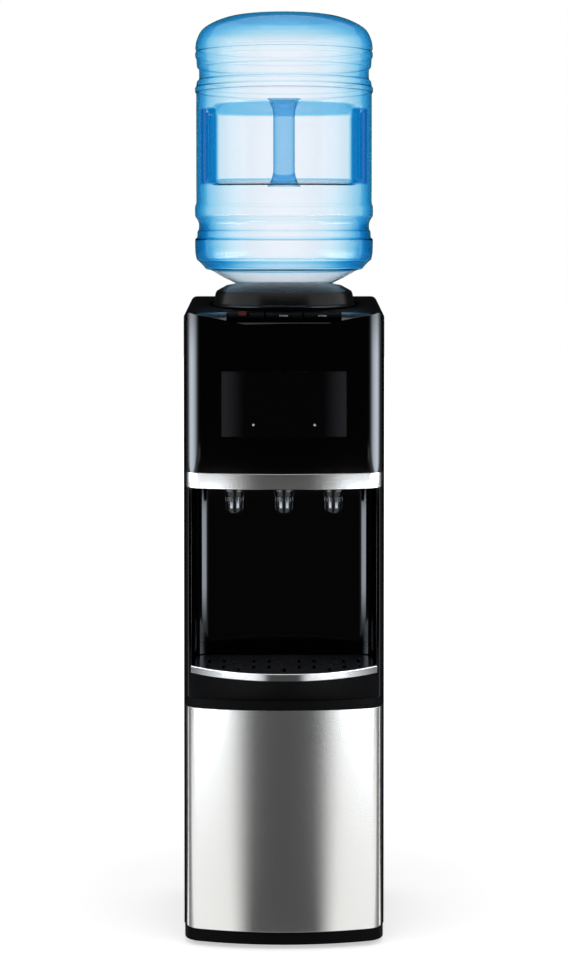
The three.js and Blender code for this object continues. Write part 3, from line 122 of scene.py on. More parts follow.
class Grain(Enum):
    """How a surface was made, which decides the pattern that it carries."""

    MOULDED = "moulded"
    SPARKED = "spark-eroded mould"
    POWDER = "powder coated"
    BRUSHED = "brushed"
    DRAWN = "drawn"


# Colours and shader nodes


def linear(colour: str) -> tuple[float, float, float, float]:
    """Turns an sRGB colour into linear light.

    Args:
        colour: The colour as a hex string such as "#c4c6c8".

    Returns:
        Red, green, blue and an opacity of one, in linear light.
    """
    channels = [int(colour[i : i + 2], 16) / 255 for i in (1, 3, 5)]
    light = [c / 12.92 if c <= 0.04045 else ((c + 0.055) / 1.055) ** 2.4 for c in channels]
    return (light[0], light[1], light[2], 1.0)


def add_node(tree: bpy.types.NodeTree, kind: str, inputs: dict | None = None, **settings) -> bpy.types.Node:
    """Adds one shader node with its settings and links.

    Args:
        tree: The material's or world's node tree.
        kind: Blender's name for the node.
        inputs: Values by socket name or number; a pair of a node and its output makes a link.
        settings: The node's own properties.

    Returns:
        The new node.
    """
    node = tree.nodes.new(kind)
    for name, value in settings.items():
        setattr(node, name, value)
    for name, value in (inputs or {}).items():
        if isinstance(value, tuple) and isinstance(value[0], bpy.types.Node):
            tree.links.new(value[0].outputs[value[1]], node.inputs[name])
        else:
            node.inputs[name].default_value = value
    return node


def colour_ramp(tree: bpy.types.NodeTree, source: tuple, stops: list[tuple[float, str]]) -> bpy.types.Node:
    """Adds a ramp from one colour to the next.

    Args:
        tree: The material's node tree.
        source: The node and output that drive the ramp.
        stops: Places from nought to one, each with its colour.

    Returns:
        The ramp node.
    """
    ramp = add_node(tree, "ShaderNodeValToRGB", {0: source})
    elements = ramp.color_ramp.elements
    while len(elements) < len(stops):
        elements.new(1.0)
    for element, (place, colour) in zip(elements, stops):
        element.position = place
        element.color = linear(colour)
    return ramp


def soft_step(
    tree: bpy.types.NodeTree, source: tuple, low: float, high: float, start: float = 0.0, end: float = 1.0
) -> bpy.types.Node:
    """Adds a smooth step from one value to another.

    Args:
        tree: The node tree.
        source: The node and output that it follows.
        low: Where it starts.
        high: Where it ends; it may lie below the start.
        start: Its value before the step.
        end: Its value after it.

    Returns:
        The node.
    """
    return add_node(
        tree,
        "ShaderNodeMapRange",
        {0: source, 1: low, 2: high, 3: start, 4: end},
        interpolation_type="SMOOTHSTEP",
    )


@dataclass(frozen=True)
class Finish:
    """A material made by a known process, with its pattern at a real size in millimetres."""

    name: str
    slot: str
    colour: str
    roughness: float
    grain: Grain = Grain.MOULDED
    grain_mm: float = 3.0
    relief_mm: float = 0.004
    colour_swing: float = 0.08
    roughness_swing: float = 0.05
    metallic: float = 0.0
    ior: float = 1.5
    specular: float = 0.5
    transmission: float = 0.0
    anisotropy: float = 0.0
    emission: float = 0.0

    def stretch(self) -> tuple[float, float, float]:
        """Works out the grain's scale: brushing runs across the front, drawing upwards.

        Returns:
            The scale along X, Y and Z.
        """
        if self.grain is Grain.BRUSHED:
            return (BRUSHED_SCALE, BRUSHED_SCALE, 1.0)
        if self.grain is Grain.DRAWN:
            return (1.0, 1.0, DRAWN_SCALE)
        return (1.0, 1.0, 1.0)

    def detail(self) -> float:
        """Returns how many octaves the grain has: a moulded skin is calm and a sparked one busy."""
        return {Grain.MOULDED: 1.0, Grain.POWDER: 2.0, Grain.DRAWN: 2.0}.get(self.grain, 4.0)

    def build(self) -> bpy.types.Material:
        """Builds the material.

        Returns:
            The finished material.
        """
        material = bpy.data.materials.new(self.name)
        material.use_nodes = True
        tree = material.node_tree
        tree.nodes.clear()
        place = add_node(tree, "ShaderNodeTexCoord")
        mapping = add_node(tree, "ShaderNodeMapping", {"Vector": (place, "Object"), "Scale": self.stretch()})
        scale = 1 / (self.grain_mm * MM)
        pattern = {"Vector": (mapping, "Vector"), "Scale": scale, "Detail": self.detail()}
        grain = add_node(tree, "ShaderNodeTexNoise", pattern)
        shader = add_node(
            tree,
            "ShaderNodeBsdfPrincipled",
            {
                "Metallic": self.metallic,
                "IOR": self.ior,
                "Specular IOR Level": self.specular,
                "Transmission Weight": self.transmission,
                "Anisotropic": self.anisotropy,
                "Anisotropic Rotation": 0.25 if self.grain is Grain.BRUSHED else 0.0,
                "Emission Color": linear(self.colour),
                "Emission Strength": self.emission,
            },
        )
        self.tint(tree, shader, grain, place)
        self.surface(tree, shader, grain)
        add_node(tree, "ShaderNodeOutputMaterial", {"Surface": (shader, "BSDF")})
        return material

    def tint(
        self, tree: bpy.types.NodeTree, shader: bpy.types.Node, grain: bpy.types.Node, place: bpy.types.Node
    ) -> None:
        """Gives the shader its colour, a little darker and lighter along the grain.

        Args:
            tree: The material's node tree.
            shader: The surface shader.
            grain: The noise that carries the grain.
            place: The texture coordinates; not used here.
        """
        full = Vector(linear(self.colour)[:3])
        dark = (*(full * (1 - self.colour_swing)), 1.0)
        light = (*(full * (1 + self.colour_swing)), 1.0)
        mix = add_node(tree, "ShaderNodeMix", {0: (grain, "Fac"), 6: dark, 7: light}, data_type="RGBA")
        tree.links.new(mix.outputs[2], shader.inputs["Base Color"])

    def surface(self, tree: bpy.types.NodeTree, shader: bpy.types.Node, grain: bpy.types.Node) -> None:
        """Gives the shader its roughness and its fine relief.

        Args:
            tree: The material's node tree.
            shader: The surface shader.
            grain: The noise that carries the grain.
        """
        low = max(self.roughness - self.roughness_swing, 0.01)
        rough = add_node(
            tree, "ShaderNodeMapRange", {0: (grain, "Fac"), 3: low, 4: self.roughness + self.roughness_swing}
        )
        relief = {"Height": (grain, "Fac"), "Distance": self.relief_mm * MM, "Strength": 1.0}
        bump = add_node(tree, "ShaderNodeBump", relief)
        tree.links.new(rough.outputs[0], shader.inputs["Roughness"])
        tree.links.new(bump.outputs[0], shader.inputs["Normal"])


@dataclass(frozen=True)
class Windowed(Finish):
    """Smoked acrylic with painted light at its left and right ends, where its colour turns paler."""

    half_mm: float = 94.5
    fade_mm: float = 38.0
    # The paler colour at both ends, which is painted light
    edge: str = "#26262a"

    def tint(
        self, tree: bpy.types.NodeTree, shader: bpy.types.Node, grain: bpy.types.Node, place: bpy.types.Node
    ) -> None:
        """Gives the shader a colour that fades from its paler ends to black in the middle: painted light at
        the ends.

        Args:
            tree: The material's node tree.
            shader: The surface shader.
            grain: The noise that carries the grain; not used here.
            place: The texture coordinates.
        """
        axes = add_node(tree, "ShaderNodeSeparateXYZ", {0: (place, "Object")})
        side = add_node(tree, "ShaderNodeMath", {0: (axes, "X")}, operation="ABSOLUTE")
        inner = (self.half_mm - self.fade_mm) * MM
        # Painted light: the colour turns paler towards both ends
        fade = soft_step(tree, (side, 0), inner, self.half_mm * MM)
        ramp = colour_ramp(tree, (fade, 0), [(0.0, self.colour), (1.0, self.edge)])
        tree.links.new(ramp.outputs[0], shader.inputs["Base Color"])


@dataclass(frozen=True)
class TintedShell(Finish):
    """A tinted clear wall: the flatter it is seen, the longer the light's way through the tint.

    Three shades are set by place: the shoulder in the collar is made pale as painted light, the ribs above it
    are deeper, and the two walls beside the recess take a painted shade of dark blue.
    """

    tints: tuple[tuple[float, str], ...] = ()
    # Painted light: between these levels the shoulder in the collar loses most of its tint and turns pale
    shoulder_mm: float = 1018.0
    clear_mm: float = 1028.0
    full_tint_mm: float = 1030.0
    shoulder_transmission: float = 0.93
    shoulder_tint: float = 0.08
    low_top_mm: float = 1085.0
    low_soft_mm: float = 30.0
    low_tint: float = 1.3
    # Painted shade: a deeper blue set by place on the two walls beside the recess
    painted_recess_shade: float = 0.0
    recess_shade_inner_mm: float = 103.0
    recess_shade_outer_mm: float = 131.0
    recess_shade_low_mm: float = 1156.0
    recess_shade_high_mm: float = 1276.0
    recess_shade_soft_mm: float = 9.0

    def tint(
        self, tree: bpy.types.NodeTree, shader: bpy.types.Node, grain: bpy.types.Node, place: bpy.types.Node
    ) -> None:
        """Gives the shader a tint that deepens where the wall turns away, and paints light into the shoulder
        by making it pale.

        Args:
            tree: The material's node tree.
            shader: The surface shader.
            grain: The noise that carries the grain; not used here.
            place: The texture coordinates.
        """
        axes = add_node(tree, "ShaderNodeSeparateXYZ", {0: (place, "Object")})
        height = (axes, "Z")
        pale = self.shoulder_mm * MM
        bare = self.clear_mm * MM
        deep = self.low_top_mm * MM
        plain = (self.low_top_mm + self.low_soft_mm) * MM
        # Painted light: in the shoulder the tint falls to a small share and the wall turns pale
        share = soft_step(tree, height, pale, self.full_tint_mm * MM, self.shoulder_tint)
        clear = soft_step(tree, height, pale, bare, self.shoulder_transmission, self.transmission)
        facing = add_node(tree, "ShaderNodeLayerWeight", {"Blend": 0.5})
        lower = soft_step(tree, height, deep, plain, self.low_tint)
        both = add_node(tree, "ShaderNodeMath", {0: (share, 0), 1: (lower, 0)}, operation="MULTIPLY")
        turned = add_node(tree, "ShaderNodeMath", {0: (facing, "Facing"), 1: (both, 0)}, operation="MULTIPLY")
        # Painted shade: beside the recess the tint takes at least the deeper blue set by place
        depth = add_node(
            tree, "ShaderNodeMath", {0: (turned, 0), 1: (self.painted_recess_shade_depth(tree, axes), 0)}, operation="MAXIMUM"
        )
        ramp = colour_ramp(tree, (depth, 0), [(0.0, self.colour), *self.tints])
        tree.links.new(ramp.outputs[0], shader.inputs["Base Color"])
        tree.links.new(clear.outputs[0], shader.inputs["Transmission Weight"])

    def painted_recess_shade_depth(self, tree: bpy.types.NodeTree, axes: bpy.types.Node) -> bpy.types.Node:
        """Adds the painted shade of the two walls beside the recess: a deeper blue set by place, standing in
        for the dark that refraction gives them.

        Args:
            tree: The material's node tree.
            axes: The object coordinates, split.

        Returns:
            The node whose first output is the depth.
        """
        side = add_node(tree, "ShaderNodeMath", {0: (axes, "X")}, operation="ABSOLUTE")
        soft = self.recess_shade_soft_mm
        limits = (
            ((side, 0), self.recess_shade_inner_mm, soft, 1),
            ((side, 0), self.recess_shade_outer_mm, soft, -1),
            ((axes, "Z"), self.recess_shade_low_mm, soft, 1),
            ((axes, "Z"), self.recess_shade_high_mm, soft, -1),
            ((axes, "Y"), 0.0, soft, -1),
        )
        depth = None
        for source, place, width, way in limits:
            low = (place - way * width / 2) * MM
            high = (place + way * width / 2) * MM
            share = soft_step(tree, source, low, high)
            before = (depth, 0) if depth else self.painted_recess_shade
            depth = add_node(tree, "ShaderNodeMath", {0: before, 1: (share, 0)}, operation="MULTIPLY")
        return depth


# Piano black ABS: a polished mould gives a deep, sharp reflection with a very calm orange peel
GLOSS_ABS = Finish(
    "Piano black ABS", "gloss_black", "#020203", 0.05, grain_mm=9.0, relief_mm=0.002, roughness_swing=0.01,
    specular=0.42,
)
# The liner of the alcove has the same polish in a resin that mirrors less
LINER_ABS = Finish(
    "Black ABS liner", "gloss_black", "#020203", 0.07, grain_mm=9.0, relief_mm=0.002, roughness_swing=0.02,
    specular=0.26,
)
# Textured black ABS: a spark-eroded mould, drawn at 1.6 mm because its real 0.3 mm grit would not show
TEXTURED_ABS = Finish(
    "Textured black ABS", "satin_black", "#060607", 0.48, Grain.SPARKED, 1.6, relief_mm=0.012,
    colour_swing=0.15, specular=0.04,
)
# The collar is moulded smoother than the deck and shows a soft sheen on its rim
COLLAR_ABS = Finish(
    "Satin black ABS", "satin_black", "#08080a", 0.24, Grain.MOULDED, 3.0, relief_mm=0.004, colour_swing=0.08,
    specular=0.3,
)
# Powder coat on steel sheet: an orange peel of about 2 mm
POWDER_COAT = Finish(
    "Black powder coated steel", "black_sheet", "#0c0c0e", 0.42, Grain.POWDER, 2.2, relief_mm=0.006,
    specular=0.1,
)
# The back sheet has the same coat lightened to a dark grey: painted light, for a back that gets little light
LIGHTENED_BACK_COAT = Finish(
    "Grey powder coated steel", "black_sheet", "#1d1e21", 0.4, Grain.POWDER, 2.2, relief_mm=0.006,
    specular=0.3,
)
# Brushed stainless sheet: lines run across the front, drawn at 0.9 mm because real ones are too fine to see
BRUSHED_SHEET = Finish(
    "Brushed stainless steel", "brushed_steel", "#f6f5f2", 0.21, Grain.BRUSHED, 0.9, relief_mm=0.0005,
    colour_swing=0.02, roughness_swing=0.02, metallic=1.0, anisotropy=0.5,
)
# Metallised ABS strip: satin, a little warmer and softer than the sheet below
SATIN_STRIP = Finish(
    "Satin metallised ABS", "silver_trim", "#f1efec", 0.13, Grain.BRUSHED, 0.8, relief_mm=0.0004,
    colour_swing=0.03, roughness_swing=0.02, metallic=1.0,
)
# Chromed ABS: mirror bright, with the slight waviness of a plated moulding
CHROME_RIM = Finish(
    "Chromed ABS", "chrome", "#e4e5e7", 0.12, grain_mm=14.0, relief_mm=0.002, colour_swing=0.02,
    roughness_swing=0.02, metallic=1.0,
)
# Smoked acrylic sheet: polished and nearly black, with painted light at its ends
WINDOW_ACRYLIC = Windowed(
    "Smoked acrylic", "smoked_window", "#050506", 0.06, grain_mm=12.0, relief_mm=0.001, roughness_swing=0.02,
    specular=0.4,
)
# Smoked polycarbonate of the spouts: dark, with a clear skin
SMOKED_SPOUT = Finish(
    "Smoked polycarbonate", "smoked_tap", "#0d0e11", 0.14, grain_mm=4.0, relief_mm=0.003, ior=1.58,
    transmission=0.1,
)
# Frosted acrylic spreads the lamp behind it, so that it glows a little all over
LIGHT_GUIDE = Finish(
    "Frosted acrylic light guide", "lens_white", "#a4a9ae", 0.3, grain_mm=0.6, relief_mm=0.003, emission=0.1,
)
# Moulded rubber: dull, with a coarse grit
FOOT_RUBBER = Finish(
    "Black rubber", "rubber", "#151515", 0.78, Grain.SPARKED, 1.5, relief_mm=0.03, colour_swing=0.15,
)
# Moulded red ABS: a soft shine on a smooth skin
RED_ABS = Finish("Red ABS", "red_plastic", "#8c1d22", 0.35, grain_mm=1.5, relief_mm=0.006)
# The lock's red is deeper, so that it only glints on the dark deck
DEEP_RED_ABS = Finish(
    "Deep red ABS", "red_plastic", "#4c1216", 0.4, grain_mm=1.5, relief_mm=0.006, specular=0.2
)
# Blue tinted polycarbonate of the bottle: clear in the middle, deep azure where the wall turns away, with a
# painted shade of dark blue beside the recess and painted light in the pale shoulder
BOTTLE_POLYCARBONATE = TintedShell(
    "Blue tinted polycarbonate", "bottle_blue", "#f8fbff", 0.05, grain_mm=22.0, relief_mm=0.05,
    roughness_swing=0.02, ior=1.25, transmission=0.98, specular=0.3, painted_recess_shade=0.78,
    tints=(
        (0.1, "#eef6fc"), (0.3, "#d0ecf8"), (0.47, "#9cd8f2"),
        (0.6, "#4ab6e6"), (0.76, "#0a88c8"), (1.0, "#025f9a"),
    ),
)
# The same plastic in the grip bar, whose thick walls hold more of the tint
GRIP_POLYCARBONATE = TintedShell(
    "Thick blue tinted polycarbonate", "bottle_blue", "#a6d6f6", 0.06, grain_mm=22.0, relief_mm=0.03,
    roughness_swing=0.02, ior=1.3, transmission=0.92, specular=0.4,
    tints=((0.25, "#80c8e8"), (0.5, "#46a6d4"), (0.75, "#107cb6"), (1.0, "#066098")),
)
# Moulded polyethylene: waxy, with a broad dull shine
WHITE_POLYETHYLENE = Finish("White polyethylene", "cap_white", "#e6eaed", 0.45, grain_mm=2.0, relief_mm=0.01)
# Deep drawn sheet: faint lines run up the wall
STAINLESS_DRAWN = Finish(
    "Deep drawn stainless steel", "stainless", "#c9cbcd", 0.3, Grain.DRAWN, 1.2, metallic=1.0,
)
# Foam poured in place: cream, dull and pitted
POLYURETHANE_FOAM = Finish(
    "Polyurethane foam", "foam", "#e6dcc0", 0.95, Grain.SPARKED, 2.5, relief_mm=0.4, colour_swing=0.15,
)
# Drawn copper: warm, with faint lines along the tube
COPPER_TUBE = Finish("Drawn copper tube", "copper", "#b87350", 0.32, Grain.DRAWN, 1.5, metallic=1.0)
# Baked enamel: a soft shine over a slight orange peel
BLACK_ENAMEL = Finish(
    "Black stove enamel", "cast_black", "#242427", 0.38, Grain.POWDER, 2.5, relief_mm=0.02, colour_swing=0.1,
)
# Extruded silicone: cloudy and half clear
SILICONE_HOSE = Finish("Silicone hose", "silicone", "#d9dddd", 0.5, grain_mm=2.0, transmission=0.3)
# Glass laminate under green lacquer: a fine weave dulls it
BOARD_LAMINATE = Finish("Green laminate", "board_green", "#1f5c3a", 0.45, Grain.SPARKED, 0.8)
# Bright zinc plate: pale grey and slightly streaked
ZINC_PLATE = Finish(
    "Zinc plated steel", "zinc", "#a9acb0", 0.34, Grain.DRAWN, 2.0, relief_mm=0.004, colour_swing=0.1,
    metallic=1.0,
)
# The grille is moulded dark grey, drawn at 1.8 mm so that its mould grit shows
GRILLE_ABS = Finish(
    "Textured grey ABS", "grille_grey", "#232427", 0.22, Grain.SPARKED, 1.8, relief_mm=0.004,
    colour_swing=0.1, specular=0.6,
)


@cache
def material_of(finish: Finish) -> bpy.types.Material:
    """Returns the one material that is built for a finish."""
    return finish.build()


# Outlines and shapes, in millimetres


def arc(centre: Point, radius: float, start: float, end: float, steps: int = ARC_STEPS) -> list[Point]:
    """Draws an arc.

    Args:
        centre: The arc's centre.
        radius: Its radius.
        start: The angle that it starts at, in radians.
        end: The angle that it ends at.
        steps: How many straight steps it has.

    Returns:
        The points along the arc, both ends included.
    """
    angles = [start + (end - start) * i / steps for i in range(steps + 1)]
    return [(centre[0] + radius * math.cos(a), centre[1] + radius * math.sin(a)) for a in angles]


def mirrored(points: list[Point]) -> list[Point]:
    """Returns a half outline mirrored to the left, in reverse order."""
    return [(-x, y) for x, y in reversed(points)]


def smooth_curve(points: list[Point], steps: int) -> list[Point]:
    """Runs a smooth curve through points.

    Args:
        points: The points that the curve passes.
        steps: How many steps lie between two of them.

    Returns:
        The points along the curve.
    """
    places = [Vector(p) for p in points]
    ends = [places[0] * 2 - places[1], *places, places[-1] * 2 - places[-2]]
    curve = []
    for before, first, second, after in zip(ends, ends[1:], ends[2:], ends[3:]):
        for i in range(steps):
            t = i / steps
            blend = (
                first * 2
                + (second - before) * t
                + (before * 2 - first * 5 + second * 4 - after) * t**2
                + (first * 3 - before - second * 3 + after) * t**3
            )
            curve.append(tuple(blend / 2))
    return [*curve, points[-1]]


def smoothstep(value: float, low: float, high: float) -> float:
    """Returns nought below low, one above high and a smooth rise between them."""
    share = min(max((value - low) / (high - low), 0.0), 1.0)
    return share * share * (3 - 2 * share)


def prism(points: list[Point], low: float, high: float, plane: Plane = Plane.XY) -> bmesh.types.BMesh:
    """Extrudes a closed outline.

    Args:
        points: The outline, without its first point repeated.
        low: Where the prism starts along the axis that the plane leaves.
        high: Where it ends.
        plane: The plane that the outline is drawn in.

    Returns:
        The closed prism.
    """
    bm = bmesh.new()
    face = bm.faces.new([bm.verts.new(plane.place(a, b, low)) for a, b in points])
    grown = bmesh.ops.extrude_face_region(bm, geom=[face])
    moved = [v for v in grown["geom"] if isinstance(v, bmesh.types.BMVert)]
    bmesh.ops.translate(bm, verts=moved, vec=plane.place(0, 0, high - low))
    bmesh.ops.recalc_face_normals(bm, faces=bm.faces)
    return bm


def lofted(lower: list[Point], low: float, upper: list[Point], high: float) -> bmesh.types.BMesh:
    """Joins two level outlines that have as many points.

    Args:
        lower: The lower outline.
        low: Its level.
        upper: The upper outline.
        high: Its level.

    Returns:
        The closed shape between them.
    """
    bm = bmesh.new()
    loops = []
    for outline, level in ((lower, low), (upper, high)):
        face = bm.faces.new([bm.verts.new((x, y, level)) for x, y in outline])
        loops += list(face.edges)
    bmesh.ops.bridge_loops(bm, edges=loops)
    bmesh.ops.recalc_face_normals(bm, faces=bm.faces)
    return bm


def block(low: Vector | tuple, high: Vector | tuple) -> bmesh.types.BMesh:
    """Builds a box between two opposite corners.

    Args:
        low: The corner with the lowest coordinates.
        high: The corner across from it.

    Returns:
        The closed box.
    """
    bm = bmesh.new()
    bmesh.ops.create_cube(bm, size=1.0)
    low = Vector(low)
    high = Vector(high)
    bmesh.ops.scale(bm, vec=high - low, verts=bm.verts)
    bmesh.ops.translate(bm, vec=(low + high) / 2, verts=bm.verts)
    return bm


def spun(
    profile: list[Point], steps: int = 96, centre: Point = (0.0, 0.0), closed: bool = False
) -> bmesh.types.BMesh:
    """Spins a profile about a vertical axis.

    Args:
        profile: Points as radius and height. An open one starts and ends on the axis.
        steps: How many steps go round.
        centre: Where the axis stands in plan.
        closed: Whether the profile closes on itself, as a ring's does.

    Returns:
        The closed body of revolution.
    """
    bm = bmesh.new()
    verts = [bm.verts.new((radius, 0.0, height)) for radius, height in profile]
    pairs = list(zip(verts, verts[1:]))
    if closed:
        pairs.append((verts[-1], verts[0]))
    edges = [bm.edges.new(pair) for pair in pairs]
    bmesh.ops.spin(
        bm, geom=[*verts, *edges], cent=(0, 0, 0), axis=(0, 0, 1), angle=math.tau, steps=steps, use_merge=True
    )
    bmesh.ops.remove_doubles(bm, verts=bm.verts, dist=MERGE_MM / 10)
    bmesh.ops.recalc_face_normals(bm, faces=bm.faces)
    bmesh.ops.translate(bm, vec=(*centre, 0), verts=bm.verts)
    return bm


def turned_back(bm: bmesh.types.BMesh, place: tuple[float, float, float]) -> bmesh.types.BMesh:
    """Lays an upright shape along +Y and moves its foot to a place.

    Args:
        bm: The shape, with its axis on Z.
        place: Where its foot goes.

    Returns:
        The same shape.
    """
    bmesh.ops.rotate(bm, cent=(0, 0, 0), matrix=Matrix.Rotation(-math.pi / 2, 3, "X"), verts=bm.verts)
    bmesh.ops.translate(bm, vec=place, verts=bm.verts)
    return bm


def merged(shapes: list[bmesh.types.BMesh]) -> bmesh.types.BMesh:
    """Puts several separate shapes in one mesh.

    Args:
        shapes: The shapes; they are freed.

    Returns:
        The mesh that holds them all.
    """
    whole = bmesh.new()
    for shape in shapes:
        mesh = bpy.data.meshes.new("work")
        shape.to_mesh(mesh)
        shape.free()
        whole.from_mesh(mesh)
        bpy.data.meshes.remove(mesh)
    return whole


def combined(first: bmesh.types.BMesh, second: bmesh.types.BMesh, how: Combine) -> bmesh.types.BMesh:
    """Makes one closed shape of two.

    Args:
        first: The shape that is kept or cut.
        second: The shape that works on it.
        how: Whether they are joined, cut or reduced to what they share.

    Returns:
        The new shape; both of the old ones are freed.
    """
    objects = []
    for shape in (first, second):
        mesh = bpy.data.meshes.new("work")
        shape.to_mesh(mesh)
        shape.free()
        thing = bpy.data.objects.new("work", mesh)
        bpy.context.scene.collection.objects.link(thing)
        objects.append(thing)
    modifier = objects[0].modifiers.new("combine", "BOOLEAN")
    modifier.operation = how.value
    modifier.solver = "EXACT"
    modifier.object = objects[1]
    result = bmesh.new()
    result.from_object(objects[0], bpy.context.evaluated_depsgraph_get())
    for thing in objects:
        mesh = thing.data
        bpy.data.objects.remove(thing)
        bpy.data.meshes.remove(mesh)
    bmesh.ops.remove_doubles(result, verts=result.verts, dist=MERGE_MM / 10)
    return result


@dataclass(frozen=True)
class Box:
    """The lowest and highest corner of a node, in millimetres."""

    low: Vector
    high: Vector

    @classmethod
    def of(cls, node: str) -> Box:
        """Returns the box of a node at rest."""
        low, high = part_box(node)
        return cls(low / MM, high / MM)

    @property
    def centre(self) -> Point:
        """Returns the middle in plan."""
        return ((self.low.x + self.high.x) / 2, (self.low.y + self.high.y) / 2)


@dataclass(frozen=True)
class FrontPlan:
    """The plan of the cabinet's front: a shallow bow with a rounded corner at each side."""

    apex: float
    half: float
    corner: float
    bow: float = 520.0
    bow_steps: int = 40

    def corner_centre(self) -> Point:
        """Works out where the right corner's arc is centred, so that it meets the bow.

        Returns:
            The centre in plan.
        """
        x = self.half - self.corner
        reach = self.bow - self.corner
        return (x, self.apex + self.bow - math.sqrt(reach**2 - x**2))

    def face_at(self, x: float, inset: float = 0.0) -> float:
        """Returns the y of the bow at a place across the front."""
        return self.apex + self.bow - math.sqrt((self.bow - inset) ** 2 - x**2)

    def front(self, inset: float) -> list[Point]:
        """Draws the front edge from its right end to its left.

        Args:
            inset: How far it is set in from the face.

        Returns:
            The points along the edge.
        """
        centre = self.corner_centre()
        middle = (0.0, self.apex + self.bow)
        tangent = math.atan2(centre[1] - middle[1], centre[0])
        right = arc(centre, self.corner - inset, 0, tangent)
        bow = arc(middle, self.bow - inset, tangent, -math.pi - tangent, self.bow_steps)
        return [*right, *bow[1:-1], *mirrored(right)]

    def filled(self, inset: float, back: float) -> list[Point]:
        """Returns the filled plan that runs back to a depth."""
        half = self.half - inset
        return [(half, back), *self.front(inset), (-half, back)]

    def skin(self, outer: float, inner: float, back: float) -> list[Point]:
        """Returns the plan of a thin skin between two insets."""
        return [*self.filled(outer, back), *reversed(self.filled(inner, back))]


# Sub-assemblies


@dataclass
class Assembly:
    """What every sub-assembly shares: the loaded frame and the way a shape becomes a piece."""

    frame: dict

    def copy_of(self, node: str) -> bmesh.types.BMesh:
        """Copies a node's solid as a merged mesh.

        Args:
            node: The name of the node.

        Returns:
            The solid in millimetres, with its flat faces whole.
        """
        bm = bmesh.new()
        bm.from_mesh(self.frame["nodes"][node].data)
        bmesh.ops.scale(bm, vec=(1 / MM,) * 3, verts=bm.verts)
        bmesh.ops.remove_doubles(bm, verts=bm.verts, dist=MERGE_MM)
        bmesh.ops.dissolve_limit(
            bm, angle_limit=math.radians(0.3), verts=bm.verts, edges=bm.edges, use_dissolve_boundaries=False
        )
        return bm

    def body_of(self, node: str) -> str:
        """Returns the body that a node belongs to."""
        bodies = self.frame["record"]["behaviour"]["bodies"]
        return next(body for body, members in bodies.items() if node in members)

    def piece(
        self,
        name: str,
        bm: bmesh.types.BMesh,
        finish: Finish,
        node: str,
        edge_mm: float = 0.0,
        edge_steps: int = 2,
        replaces: bool = True,
    ) -> bpy.types.Object:
        """Turns a shape into a finished piece.

        Args:
            name: The piece's name.
            bm: Its shape in millimetres; it is freed.
            finish: What it is made of.
            node: The node that it stands for, or that carries it.
            edge_mm: The radius that breaks its sharp edges, or nought.
            edge_steps: How many steps that radius has.
            replaces: Whether it stands for the node.

        Returns:
            The new object.
        """
        bmesh.ops.scale(bm, vec=(MM,) * 3, verts=bm.verts)
        mesh = bpy.data.meshes.new(name)
        bm.to_mesh(mesh)
        bm.free()
        mesh.shade_smooth()
        mesh.set_sharp_from_angle(angle=SMOOTH_BELOW)
        mesh.materials.append(material_of(finish))
        thing = bpy.data.objects.new(name, mesh)
        bpy.context.scene.collection.objects.link(thing)
        if edge_mm:
            bevel = thing.modifiers.new("edge", "BEVEL")
            bevel.width = edge_mm * MM
            bevel.segments = edge_steps
            bevel.limit_method = "ANGLE"
            bevel.angle_limit = SMOOTH_BELOW
            bevel.harden_normals = True
        if replaces:
            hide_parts(node)
        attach(thing, self.body_of(node))
        LOG.info("%s: %d faces, %s", name, len(mesh.polygons), finish.name)
        return thing

    def dress(self, finish: Finish, *nodes: str) -> None:
        """Gives nodes that keep their own solid a finish.

        Args:
            finish: What they are made of.
            nodes: Their names.
        """
        for node in nodes:
            thing = self.frame["nodes"][node]
            thing.data.materials.clear()
            thing.data.materials.append(material_of(finish))

    def refine(self, node: str, name: str, finish: Finish, edge_mm: float = 0.5) -> bpy.types.Object:
        """Stands a copy of a node's solid with broken edges in for the node."""
        return self.piece(name, self.copy_of(node), finish, node, edge_mm)


@dataclass
class Cabinet(Assembly):
    """The base, feet, side sheets and the brushed door panel."""

    corner: float = 26.0
    side_sheet: float = 3.0
    door_wall: float = 1.5
    foot_steps: int = 48
    foot_top: float = 6.7
    stud: float = 4.0

    def plan(self) -> FrontPlan:
        """Returns the plan that all mouldings of the front follow."""
        door = Box.of("lower_front_panel")
        return FrontPlan(door.low.y, door.high.x, self.corner)

    def build(self) -> None:
        """Builds the cabinet's pieces."""
        door = Box.of("lower_front_panel")
        skin = prism(self.plan().skin(0, self.door_wall, door.high.y), door.low.z, door.high.z)
        self.piece("brushed_door_skin", skin, BRUSHED_SHEET, "lower_front_panel", 0.4)
        self.refine("base_pan", "base_moulding", TEXTURED_ABS, 1.2)
        for side in ("left", "right"):
            self.refine(f"side_panel_{side}", f"side_sheet_{side}", POWDER_COAT, 0.8)
        for place in ("front_left", "front_right", "rear_left", "rear_right"):
            self.foot(f"foot_{place}", f"levelling_foot_{place}")

    def foot(self, node: str, name: str) -> None:
        """Builds one rubber foot with a rolled edge and its stud.

        Args:
            node: The node that it stands for.
            name: The piece's name.
        """
        box = Box.of(node)
        radius = (box.high.y - box.low.y) / 2
        profile = [
            (0, 0), (radius - 1.2, 0), (radius - 0.3, 0.4), (radius, 1.4), (radius - 1, 3.2),
            (radius - 3, self.foot_top), (self.stud, self.foot_top), (self.stud, box.high.z), (0, box.high.z),
        ]
        self.piece(name, spun(profile, self.foot_steps, box.centre), FOOT_RUBBER, node)


